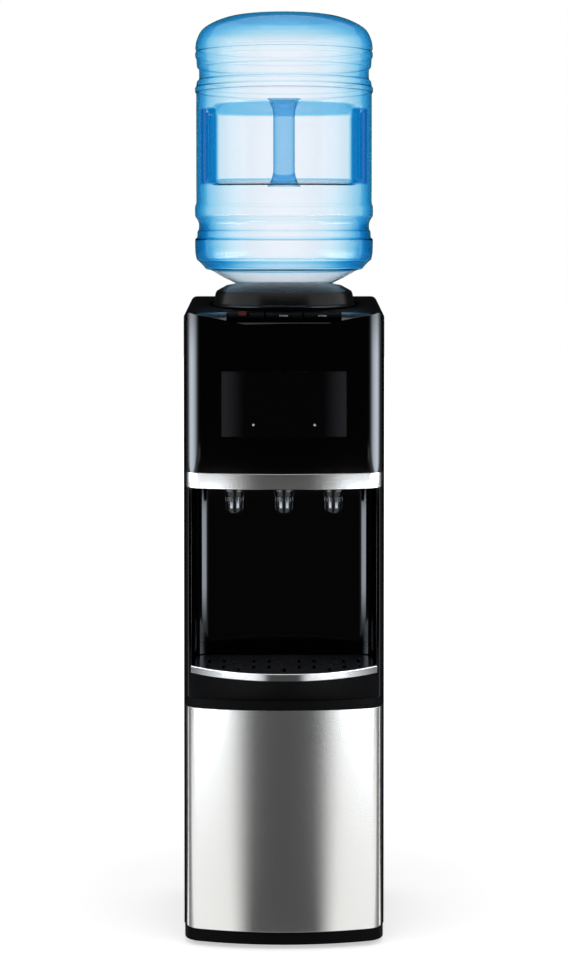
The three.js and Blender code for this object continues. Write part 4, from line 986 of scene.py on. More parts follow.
@dataclass
class Rear(Assembly):
    """The rear panel with its condenser, switches, drain and gland."""

    tube_radius: float = 2.6
    tube_sides: int = 12
    tube_inset: float = 1.8
    pitch: float = 62.0
    turn_steps: int = 16
    wire_overhang: float = 10.0
    wire_radius: float = 0.8
    wire_sides: int = 6
    wires: int = 22
    screw_radius: float = 4.0
    screw_margin: float = 9.0
    screw_places: tuple[float, ...] = (0.03, 0.27, 0.5, 0.73, 0.97)
    recess_half: float = 0.5
    recess_reach: float = 2.2
    recess_floor: float = 1.2

    def build(self) -> None:
        """Builds the rear fittings."""
        # The rear sheet's coat is made lighter as painted light for the dimly lit back
        self.refine("rear_panel", "rear_sheet", LIGHTENED_BACK_COAT, 0.3)
        self.refine("condenser_rail_left", "rail_left", ZINC_PLATE, 0.3)
        self.refine("condenser_rail_right", "rail_right", ZINC_PLATE, 0.3)
        self.refine("switch_bezel", "switch_frame", TEXTURED_ABS, 0.6)
        self.refine("hot_switch", "rocker_hot", RED_ABS, 0.6)
        self.refine("cold_switch", "rocker_cold", GLOSS_ABS, 0.6)
        self.refine("drain_spout", "drain_nozzle", WHITE_POLYETHYLENE, 0.4)
        self.refine("drain_cap", "drain_stopper", TEXTURED_ABS, 0.4)
        self.refine("cable_gland", "cable_bush", TEXTURED_ABS, 0.4)
        self.condenser()
        self.screws()

    def condenser(self) -> None:
        """Builds the serpentine tube and the wires that lie on it."""
        box = Box.of("condenser")
        y = box.high.y - self.tube_inset - self.tube_radius
        half = box.high.x - self.tube_radius - self.pitch / 2
        bottom = box.low.z + self.wire_overhang
        runs = round((box.high.z - box.low.z - 2 * self.wire_overhang) / self.pitch) + 1
        path = []
        for run in range(runs):
            side = 1 if run % 2 == 0 else -1
            level = bottom + run * self.pitch
            path += [(-side * half, level), (side * half, level)]
            if run < runs - 1:
                middle = (side * half, level + self.pitch / 2)
                turn = arc((0, 0), self.pitch / 2, -math.pi / 2, math.pi / 2, self.turn_steps)[1:-1]
                path += [(middle[0] + side * x, middle[1] + z) for x, z in turn]
        tube = self.swept([Vector((x, y, z)) for x, z in path], self.tube_radius, self.tube_sides)
        wire_y = box.high.y - self.wire_radius
        wires = []
        for i in range(self.wires):
            x = -half + 2 * half * i / (self.wires - 1)
            ends = [Vector((x, wire_y, box.low.z)), Vector((x, wire_y, box.high.z))]
            wires.append(self.swept(ends, self.wire_radius, self.wire_sides))
        self.piece("condenser_grid", merged([tube, *wires]), BLACK_ENAMEL, "condenser")

    def swept(self, path: list[Vector], radius: float, sides: int) -> bmesh.types.BMesh:
        """Sweeps a round section along a path in a plane square to Y.

        Args:
            path: The points that the tube's middle follows.
            radius: The tube's radius.
            sides: How many sides its section has.

        Returns:
            The closed tube.
        """
        bm = bmesh.new()
        rings = []
        for i, point in enumerate(path):
            along = (path[min(i + 1, len(path) - 1)] - path[max(i - 1, 0)]).normalized()
            across = along.cross(Vector((0, 1, 0)))
            ring = bmesh.ops.create_circle(bm, cap_ends=False, radius=radius, segments=sides)["verts"]
            turn = Matrix((across, Vector((0, 1, 0)), along)).transposed().to_4x4()
            bmesh.ops.transform(bm, matrix=Matrix.Translation(point) @ turn, verts=ring)
            rings.append(list({edge for vert in ring for edge in vert.link_edges}))
        for first, second in zip(rings, rings[1:]):
            bmesh.ops.bridge_loops(bm, edges=[*first, *second])
        for ring in (rings[0], rings[-1]):
            bmesh.ops.contextual_create(bm, geom=[edge for edge in ring if edge.is_boundary])
        bmesh.ops.recalc_face_normals(bm, faces=bm.faces)
        return bm

    def screws(self) -> None:
        """Builds the pan head screws along the edges of the rear panel."""
        box = Box.of("rear_panel")
        radius = self.screw_radius
        dome = [(0, 2.0), (radius * 0.6, 1.7), (radius, 0.8), (radius, 0), (0, 0)]
        heads = []
        for share in self.screw_places:
            z = box.low.z + share * (box.high.z - box.low.z)
            for x in (box.low.x + self.screw_margin, box.high.x - self.screw_margin):
                head = spun(dome, 24)
                for half_x, half_y in (
                    (self.recess_half, self.recess_reach),
                    (self.recess_reach, self.recess_half),
                ):
                    slot = block((-half_x, -half_y, self.recess_floor), (half_x, half_y, 3))
                    head = combined(head, slot, Combine.CUT)
                heads.append(turned_back(head, (x, box.high.y, z)))
        self.piece("rear_screws", merged(heads), ZINC_PLATE, "rear_panel", replaces=False)


@dataclass
class Front(Assembly):
    """The upper front moulding with its window, the bright band and the alcove."""

    plan: FrontPlan
    wall: float = 3.0
    roll: float = 32.0
    edge_round: float = 10.0
    window_half: float = 94.5
    window_recess: float = 0.8
    window_wall: float = 2.0
    band_wall: float = 4.0
    key_opening_half: float = 86.7
    key_opening_drop: float = 15.0
    alcove_half: float = 140.0
    alcove_fillet: float = 27.0
    alcove_wall: float = 2.5
    column_depth: float = 22.0
    window_back: float = 40.0
    lens_hole_depth: float = 30.0
    round_steps: int = 32
    gap: float = 0.3

    def build(self) -> None:
        """Builds the front's pieces."""
        self.upper_panel()
        self.window()
        band = Box.of("accent_band")
        strip = prism(self.plan.skin(0, self.band_wall, band.high.y), band.low.z, band.high.z)
        self.piece("bright_band", strip, SATIN_STRIP, "accent_band", 0.9)
        self.alcove()
        self.refine("tray_ledge", "ledge_moulding", TEXTURED_ABS, 0.8)
        self.refine("tap_plate", "spout_plate", TEXTURED_ABS, 0.4)

    def rolled(self, inset: float, bottom: float, back: float) -> bmesh.types.BMesh:
        """Builds the solid front with its rolled top and rounded sides.

        Args:
            inset: How far it is set in all round.
            bottom: Its lower level.
            back: The y where it ends.

        Returns:
            The closed solid.
        """
        top = Box.of("upper_front_panel").high.z
        seam = self.plan.apex + self.roll
        body = prism(self.plan.filled(inset, back), bottom, top - inset)
        turn = arc((seam, top - self.roll), self.roll - inset, math.pi, math.pi / 2, 24)
        far = back + OVERRUN_MM
        low = bottom - OVERRUN_MM
        side = [(self.plan.apex + inset, low), *turn, (far, top - inset), (far, low)]
        half = self.plan.half + OVERRUN_MM
        body = combined(body, prism(side, -half, half, Plane.YZ), Combine.KEEP)
        radius = self.edge_round - inset
        corner = arc((self.plan.half - self.edge_round, top - self.edge_round), radius, 0, math.pi / 2, 10)
        edge = self.plan.half - inset
        face = [*corner, *mirrored(corner), (-edge, low), (edge, low)]
        return combined(body, prism(face, self.plan.apex - 1, far, Plane.XZ), Combine.KEEP)

    def upper_panel(self) -> None:
        """Builds the gloss moulding with its window hole and the opening for the keys."""
        box = Box.of("upper_front_panel")
        glass = Box.of("display_window")
        shell = self.rolled(0, box.low.z, box.high.y)
        inside = self.rolled(self.wall, box.low.z - OVERRUN_MM, box.high.y + OVERRUN_MM)
        shell = combined(shell, inside, Combine.CUT)
        seam = self.plan.apex + self.roll
        near = self.plan.apex - OVERRUN_MM
        shelf = Box.of("side_panel_left").high.z
        half = self.plan.half + OVERRUN_MM
        high = box.high.z + OVERRUN_MM
        cuts = [
            block((-half, seam, shelf), (half, box.high.y + OVERRUN_MM, high)),
            block(
                (-self.key_opening_half, near, box.high.z - self.key_opening_drop),
                (self.key_opening_half, seam + OVERRUN_MM, high),
            ),
            block(
                (-self.window_half, near, glass.low.z - self.gap),
                (self.window_half, seam, glass.high.z + self.gap),
            ),
        ]
        for tool in cuts:
            shell = combined(shell, tool, Combine.CUT)
        self.piece("fascia", shell, GLOSS_ABS, "upper_front_panel", 0.7)

    def window(self) -> None:
        """Builds the smoked window and the two indicator lenses in it."""
        glass = Box.of("display_window")
        inner = self.window_recess + self.window_wall
        skin = self.plan.skin(self.window_recess, inner, glass.high.y + self.window_back)
        sheet = prism(skin, glass.low.z, glass.high.z)
        front = block(
            (glass.low.x, self.plan.apex - 1, glass.low.z - 1),
            (glass.high.x, glass.high.y + 1, glass.high.z + 1),
        )
        sheet = combined(sheet, front, Combine.KEEP)
        for node in ("indicator_lens_hot", "indicator_lens_cold"):
            lens = Box.of(node)
            middle = (lens.low + lens.high) / 2
            radius = (lens.high.z - lens.low.z) / 2
            wide = radius + self.gap
            deep = self.lens_hole_depth
            hole = spun([(0, 0), (wide, 0), (wide, deep), (0, deep)], self.round_steps)
            hole = turned_back(hole, (middle.x, lens.low.y - OVERRUN_MM, middle.z))
            sheet = combined(sheet, hole, Combine.CUT)
            dome = [(0, 0), (radius * 0.6, 0.15), (radius * 0.92, 0.5), (radius, 1.1)]
            length = lens.high.y - lens.low.y
            pin = spun([*dome, (radius, length), (0, length)], self.round_steps)
            pin = turned_back(pin, (middle.x, lens.low.y, middle.z))
            self.piece(f"{node}_pin", pin, LIGHT_GUIDE, node)
        self.piece("window_sheet", sheet, WINDOW_ACRYLIC, "display_window", 0.3)

    def alcove(self) -> None:
        """Builds the gloss liner with its rounded columns and corners."""
        box = Box.of("niche_liner")
        centre = self.plan.corner_centre()
        radius = self.plan.corner
        back = box.high.y - self.alcove_wall
        mouth = math.acos((self.alcove_half - centre[0]) / radius)
        fillet = (self.alcove_half - self.alcove_fillet, back - self.alcove_fillet)
        side_y = centre[1] + self.column_depth
        column = arc(centre, radius, 0, -mouth)
        inside = arc(fillet, self.alcove_fillet, 0, math.pi / 2)
        outside = arc(fillet, self.alcove_fillet + self.alcove_wall, math.pi / 2, 0)
        outer = self.alcove_half + self.alcove_wall
        outline = [
            (self.plan.half, side_y), *column, *inside, *mirrored(inside), *mirrored(column),
            (-self.plan.half, side_y), (-outer, side_y), *mirrored(outside), *outside, (outer, side_y),
        ]
        liner = prism(outline, box.low.z, box.high.z)
        self.piece("alcove_shell", liner, LINER_ABS, "niche_liner", 0.5)


@dataclass
class Taps(Assembly):
    """The three spouts with the fluted ring round each outlet."""

    gap: float = 0.3
    neck: float = 12.0
    flange: float = 16.5
    flange_height: float = 5.2
    bore: float = 4.5
    tip_drop: float = 27.5
    tip_radius: float = 13.6
    tip_round: float = 7.1
    tip_steps: int = 10
    steps: int = 64
    ribs: int = 12
    rib_radius: float = 2.0
    rib_bevel: float = 1.2
    rib_steps: int = 16
    ring_drop: float = 12.5
    ring_height: float = 8.5
    ring_radius: float = 12.8

    def build(self) -> None:
        """Builds the spouts."""
        under = Box.of("accent_band").low.z - self.gap
        for place in ("hot", "room", "cold"):
            box = Box.of(f"tap_nozzle_{place}")
            spout = spun(self.profile(box, under), self.steps, box.centre, closed=True)
            whole = merged([spout, *self.fluting(box.centre, under)])
            self.piece(f"spout_{place}", whole, SMOKED_SPOUT, f"tap_nozzle_{place}")

    def profile(self, box: Box, under: float) -> list[Point]:
        """Draws a spout's section, from its bore over the flange to the rounded tip.

        Args:
            box: The spout's box.
            under: The level of the flange's top.

        Returns:
            The closed section as radius and height.
        """
        tip = under - self.tip_drop
        lip = arc((self.tip_radius - self.tip_round, 0), self.tip_round, 0, -math.pi / 2, self.tip_steps)[1:]
        squash = (tip - box.low.z) / self.tip_round
        return [
            (self.bore, box.high.z), (self.neck, box.high.z), (self.neck, under), (self.flange, under),
            (self.flange, under - self.flange_height), (self.flange - 0.6, under - self.flange_height - 0.8),
            (14.9, under - 11.4), (14.4, under - 12.4), (13.7, under - 13), (13.7, under - 20.5),
            (self.tip_radius, tip), *[(x, tip + z * squash) for x, z in lip],
            (self.bore + 0.6, box.low.z), (self.bore, box.low.z + 0.8),
        ]

    def fluting(self, centre: Point, under: float) -> list[bmesh.types.BMesh]:
        """Builds the ring of upright ribs round a spout.

        Args:
            centre: Where the spout stands in plan.
            under: The level of the flange's top.

        Returns:
            One shape for each rib.
        """
        low = under - self.ring_drop - self.ring_height
        high = low + self.ring_height
        side = [(self.rib_radius, low + self.rib_bevel), (self.rib_radius, high - self.rib_bevel)]
        ribs = []
        for i in range(self.ribs):
            angle = math.tau * (i + 0.5) / self.ribs
            x = centre[0] + self.ring_radius * math.cos(angle)
            y = centre[1] + self.ring_radius * math.sin(angle)
            ribs.append(spun([(0, low), *side, (0, high)], self.rib_steps, (x, y)))
        return ribs


@dataclass
class Deck(Assembly):
    """The top cover with its well, the keys and the child lock."""

    plan: FrontPlan
    side_sheet: float = 3.0
    well: float = 118.0
    well_wall: float = 3.0
    well_floor: float = 3.0
    mouth: float = 50.0
    wall: float = 3.0
    edge_round: float = 10.0
    well_depth: float = 9.0
    well_steps: int = 128
    skirt_drop: float = 30.0
    mark_half: float = 6.0
    mark_drop: float = 3.4
    mark_height: float = 2.0
    mark_proud: float = 0.25
    mark_sunk: float = 0.6

    def build(self) -> None:
        """Builds the deck's pieces."""
        self.cover()
        for place in ("hot", "room", "cold"):
            self.refine(f"{place}_key", f"{place}_push_key", TEXTURED_ABS, 0.8)
        self.refine("child_lock_slider", "lock_slider", DEEP_RED_ABS, 0.5)
        for place in ("room", "cold"):
            self.mark(place)

    def mark(self, place: str) -> None:
        """Builds the plain grey inlay in the front of a key.

        Args:
            place: Which key carries it.
        """
        key = Box.of(f"{place}_key")
        x = key.centre[0]
        top = key.high.z - self.mark_drop
        inlay = block(
            (x - self.mark_half, key.low.y - self.mark_proud, top - self.mark_height),
            (x + self.mark_half, key.low.y + self.mark_sunk, top),
        )
        self.piece(f"{place}_key_inlay", inlay, ZINC_PLATE, f"{place}_key", 0.15, replaces=False)

    def rise(self) -> float:
        """Returns how far the deck climbs from its front seam to its rear edge."""
        return Box.of("top_cover").high.z - Box.of("upper_front_panel").high.z

    def block_at(self, inset: float, bottom: float) -> bmesh.types.BMesh:
        """Builds the sloped solid of the deck with rounded sides.

        Args:
            inset: How far it is set in all round.
            bottom: Its lower level.

        Returns:
            The closed solid.
        """
        box = Box.of("top_cover")
        outer = FrontPlan(self.plan.apex, box.high.x, self.plan.corner + self.side_sheet)
        body = prism(outer.filled(inset, box.high.y - inset), bottom, box.high.z + 1)
        front = box.low.y + inset
        back = box.high.y - inset
        top_front = box.high.z - self.rise() - inset
        side = [(front, bottom - 1), (back, bottom - 1), (back, box.high.z - inset), (front, top_front)]
        half = box.high.x + OVERRUN_MM
        body = combined(body, prism(side, -half, half, Plane.YZ), Combine.KEEP)
        radius = self.edge_round - inset
        level = box.high.z - self.rise()
        corner = arc((box.high.x - self.edge_round, level - self.edge_round), radius, 0, math.pi / 2, 10)
        edge = box.high.x - inset
        low = bottom - self.skirt_drop
        face = [*corner, *mirrored(corner), (-edge, low), (edge, low)]
        tool = prism(face, box.low.y, box.high.y + OVERRUN_MM, Plane.XZ)
        slope = self.rise() / (box.high.y - box.low.y)
        for vert in tool.verts:
            vert.co.z += slope * (vert.co.y - box.low.y)
        return combined(body, tool, Combine.KEEP)

    def cover(self) -> None:
        """Builds the top cover: a sloped shell with a well and a mouth in it."""
        box = Box.of("top_cover")
        bottle = Box.of("bottle")
        centre = (0.0, bottle.centre[1])
        floor = box.high.z - self.rise() - self.well_depth
        low = box.low.z - OVERRUN_MM

        def pit(radius: float, bottom: float) -> bmesh.types.BMesh:
            """Returns the round tool that sinks a well of a radius to a level."""
            high = box.high.z + OVERRUN_MM
            return spun([(0, bottom), (radius, bottom), (radius, high), (0, high)], self.well_steps, centre)

        basin = pit(self.well + self.well_wall, floor - self.well_floor)
        inside = combined(self.block_at(self.wall, low), basin, Combine.CUT)
        shell = combined(self.block_at(0, box.low.z), inside, Combine.CUT)
        shell = combined(shell, pit(self.well, floor), Combine.CUT)
        shell = combined(shell, pit(self.mouth, low), Combine.CUT)
        self.piece("deck_cover", shell, TEXTURED_ABS, "top_cover", 1.0)


@dataclass
class DripTray(Assembly):
    """The pull-out tray, its bright rim and the grille on it."""

    plan: FrontPlan
    shoulder_half: float = 141.0
    tub_half: float = 138.5
    rear_fillet: float = 27.0
    corner_drop: float = 3.5
    wall: float = 3.5
    floor: float = 4.0
    gap: float = 0.3
    trim: float = 3.0
    bow_steps: int = 48
    lip_overlap: float = 0.5
    slot_radius: float = 2.5
    slot_steps: int = 8
    columns: int = 11
    column_pitch: float = 22.8
    per_tap: int = 3
    slot_length: float = 32.0
    short_slot: float = 14.0
    slot_gap: float = 7.0
    front_margin: float = 8.0
    ring: float = 17.0
    ring_steps: int = 48
    hub: float = 9.0
    spoke: float = 3.5
    sink: float = 1.9
    sink_depth: float = 1.25

    def build(self) -> None:
        """Builds the tray, trim and grille."""
        self.tub()
        self.rim()
        self.grate()

    def corner_y(self) -> float:
        """Returns the y where the tray's front edge meets its sides."""
        return self.plan.face_at(self.shoulder_half) - self.corner_drop

    def bow(self, apex: float, corner: float) -> float:
        """Returns the radius of the front edge between its foremost point and the shoulders."""
        sag = corner - apex
        return (self.shoulder_half**2 + sag**2) / (2 * sag)

    def bulge(self, half: float, inset: float, apex: float, corner: float) -> list[Point]:
        """Draws a bowed front edge from its right end to its left.

        Args:
            half: Half its width.
            inset: How far it is set in from the tray's own edge.
            apex: The y of its foremost point before it is set in.
            corner: The y where it meets the shoulders.

        Returns:
            The points along the edge.
        """
        radius = self.bow(apex, corner)
        spread = math.asin(half / (radius - inset))
        centre = (0.0, apex + radius)
        return arc(centre, radius - inset, spread - math.pi / 2, -spread - math.pi / 2, self.bow_steps)

    def front_arc(self, half: float, inset: float) -> list[Point]:
        """Returns the rim's front edge from its right end to its left, set in by a distance."""
        return self.bulge(half, inset, Box.of("tray_trim").low.y, self.corner_y())

    def rear_corner(self, inset: float) -> list[Point]:
        """Draws the right rear corner of the tray, from the back to the side.

        Args:
            inset: How far it is set in.

        Returns:
            The points along the corner.
        """
        box = Box.of("drip_tray")
        half = self.tub_half - inset
        radius = self.rear_fillet - inset
        return arc((half - radius, box.high.y - inset - radius), radius, math.pi / 2, 0)

    def tub(self) -> None:
        """Builds the tray: its sides lean from the bow of the cabinet out to the rim above."""
        box = Box.of("drip_tray")
        rim = Box.of("tray_trim")
        grille = Box.of("drip_grille")
        behind = self.trim + self.gap
        low_corner = self.plan.face_at(self.shoulder_half)
        ends = ((self.plan.apex, low_corner), (rim.low.y, self.corner_y()))
        shoulder_back = rim.high.y
        outer = []
        inner = []
        for apex, corner in ends:
            shoulder = [(self.tub_half, shoulder_back), (self.shoulder_half, shoulder_back)]
            right = [*self.rear_corner(0), *shoulder]
            outer.append([*right, *self.bulge(self.shoulder_half, 0, apex, corner), *mirrored(right)])
            inset = behind + self.wall
            right = self.rear_corner(inset)
            inner.append([*right, *self.bulge(self.tub_half - inset, inset, apex, corner), *mirrored(right)])
        seam = rim.low.z - self.gap
        outside = lofted(outer[0], box.low.z, outer[1], seam)
        right = self.rear_corner(behind)
        lip = [*right, *self.bulge(self.tub_half - behind, behind, *ends[1]), *mirrored(right)]
        lip = prism(lip, seam - self.lip_overlap, grille.low.z - self.gap)
        outside = combined(outside, lip, Combine.JOIN)
        hollow = lofted(inner[0], box.low.z + self.floor, inner[1], rim.high.z)
        tub = combined(outside, hollow, Combine.CUT)
        self.piece("tray_tub", tub, TEXTURED_ABS, "drip_tray", 0.6)

    def rim(self) -> None:
        """Builds the chromed rim with a rounded face."""
        box = Box.of("tray_trim")
        outer = self.shoulder_half
        inner = outer - self.trim
        outline = [
            (outer, box.high.y), *self.front_arc(outer, 0), (-outer, box.high.y),
            (-inner, box.high.y), *reversed(self.front_arc(inner, self.trim)), (inner, box.high.y),
        ]
        strip = prism(outline, box.low.z, box.high.z)
        self.piece("chrome_rim", strip, CHROME_RIM, "tray_trim", 1.1, edge_steps=4)

    def slot_outline(self, x: float, front: float, back: float) -> list[Point]:
        """Draws a slot with round ends.

        Args:
            x: Its middle across.
            front: The y of its front end.
            back: The y of its far end.

        Returns:
            The closed outline.
        """
        radius = self.slot_radius
        far = arc((x, back - radius), radius, 0, math.pi, self.slot_steps)
        return far + arc((x, front + radius), radius, math.pi, math.tau, self.slot_steps)

    def slot(self, x: float, front: float, back: float, low: float, high: float) -> list[bmesh.types.BMesh]:
        """Builds the tools for a slot and for the slope that leads into its far end.

        Args:
            x: The slot's middle across.
            front: The y of its front end.
            back: The y of its far end.
            low: The tools' lower level.
            high: Their upper level.

        Returns:
            The two tools.
        """
        level = Box.of("drip_grille").high.z
        straight = self.slot_outline(x, front, back)
        growth = self.sink * (high - level + self.sink_depth) / self.sink_depth
        mouth = [(a, b + growth if b > (front + back) / 2 else b) for a, b in straight]
        return [prism(straight, low, high), lofted(straight, level - self.sink_depth, mouth, high)]

    def grate(self) -> None:
        """Builds the grille with two rows of slots and a round opening under each spout."""
        box = Box.of("drip_grille")
        tap_y = Box.of("tap_nozzle_room").centre[1]
        gap = self.trim + self.gap
        half = box.high.x
        fillet = self.rear_fillet - gap
        rear = arc((half - fillet, box.high.y - fillet), fillet, math.pi / 2, 0)
        outline = [*rear, *self.front_arc(half, gap), *mirrored(rear)]
        plate = prism(outline, box.low.z, box.high.z)
        low = box.low.z - 1
        high = box.high.z + 1
        tools = []
        last = (self.columns - 1) // 2
        for column in range(-last, last + 1):
            x = column * self.column_pitch
            under_tap = column % self.per_tap == 0
            clear = self.ring + self.slot_gap if under_tap else self.slot_gap / 2
            edge = self.front_at(abs(x) + self.slot_radius, gap) + self.front_margin
            front = max(edge, tap_y - clear - self.slot_length)
            back = tap_y + clear + (self.short_slot if under_tap else self.slot_length)
            tools += self.slot(x, front, tap_y - clear, low, high)
            tools += self.slot(x, tap_y + clear, back, low, high)
            if under_tap:
                tools.append(self.ring_tool(x, tap_y, low, high))
        for tool in tools:
            plate = combined(plate, tool, Combine.CUT)
        self.piece("grille_plate", plate, GRILLE_ABS, "drip_grille", 0.9, edge_steps=3)

    def front_at(self, x: float, inset: float) -> float:
        """Works out where the tray's front edge lies at a place across.

        Args:
            x: The place across.
            inset: How far the edge is set in.

        Returns:
            The y of the edge.
        """
        apex = Box.of("tray_trim").low.y
        radius = self.bow(apex, self.corner_y())
        return apex + radius - math.sqrt((radius - inset) ** 2 - x**2)

    def ring_tool(self, x: float, y: float, low: float, high: float) -> bmesh.types.BMesh:
        """Builds the tool for a round opening with a hub on four spokes.

        Args:
            x: The opening's middle across.
            y: Its middle from front to back.
            low: The tool's lower level.
            high: Its upper level.

        Returns:
            The tool.
        """
        section = [(self.hub, low), (self.ring, low), (self.ring, high), (self.hub, high)]
        disc = spun(section, self.ring_steps, (x, y), closed=True)
        reach = self.ring + OVERRUN_MM
        half = self.spoke / 2
        for tool in (
            block((x - half, y - reach, low - 1), (x + half, y + reach, high + 1)),
            block((x - reach, y - half, low - 1), (x + reach, y + half, high + 1)),
        ):
            disc = combined(disc, tool, Combine.CUT)
        return disc


@dataclass
class Collar(Assembly):
    """The collar that guides the bottle, and the probe in it."""

    skirt: float = 108.5
    rim: float = 113.0
    rim_height: float = 17.0
    rim_band: float = 3.0
    shoulder: float = 105.0
    shoulder_height: float = 39.0
    lip: float = 76.0
    wall: float = 3.0
    cup: float = 30.6
    cup_drop: float = 20.7
    cup_wall: float = 2.5
    cup_floor: float = 3.0
    probe_hole: float = 9.3
    well_depth: float = 9.0
    gap: float = 0.3
    steps: int = 128

    def build(self) -> None:
        """Builds the collar and dresses what stands in it."""
        box = Box.of("bottle_collar")
        bottle = Box.of("bottle")
        centre = (0.0, bottle.centre[1])
        seat = Box.of("upper_front_panel").high.z - self.well_depth + self.gap
        top = seat + self.shoulder_height
        lip_top = box.high.z
        cup_top = lip_top - self.cup_drop
        cup_floor = box.low.z + self.cup_floor
        cup_outer = self.cup + self.cup_wall
        rim_top = seat + self.rim_height
        band = rim_top - self.rim_band
        outer = [
            (self.skirt - self.wall, seat), (self.skirt, seat), (self.skirt + 2.6, seat + 9),
            (self.rim - 0.9, band - 0.9), (self.rim, band + 0.4), (self.rim, rim_top - 0.9),
            (self.rim - 0.8, rim_top), (self.rim - 2.4, rim_top + 1.2),
            (self.shoulder + 3.2, top - 6.5), (self.shoulder + 1.4, top - 1.8),
            (self.shoulder - 2.4, top + 0.6),
            (self.lip + 14, lip_top - 2.7), (self.lip + self.wall, lip_top - 0.7), (self.lip + 1, lip_top),
            (self.lip, lip_top - 0.4),
        ]
        inner = [
            (self.cup, cup_top), (self.cup, cup_floor), (self.probe_hole, cup_floor),
            (self.probe_hole, box.low.z), (cup_outer, box.low.z), (cup_outer, cup_top - self.wall),
            (self.lip, lip_top - 6), (self.shoulder - self.wall, top - self.wall),
            (self.rim - self.wall, rim_top - 1.5),
        ]
        ring = spun([*outer, *inner], self.steps, centre, closed=True)
        self.piece("collar_moulding", ring, COLLAR_ABS, "bottle_collar")
        self.refine("feed_probe", "probe_tube", WHITE_POLYETHYLENE, 0.3)


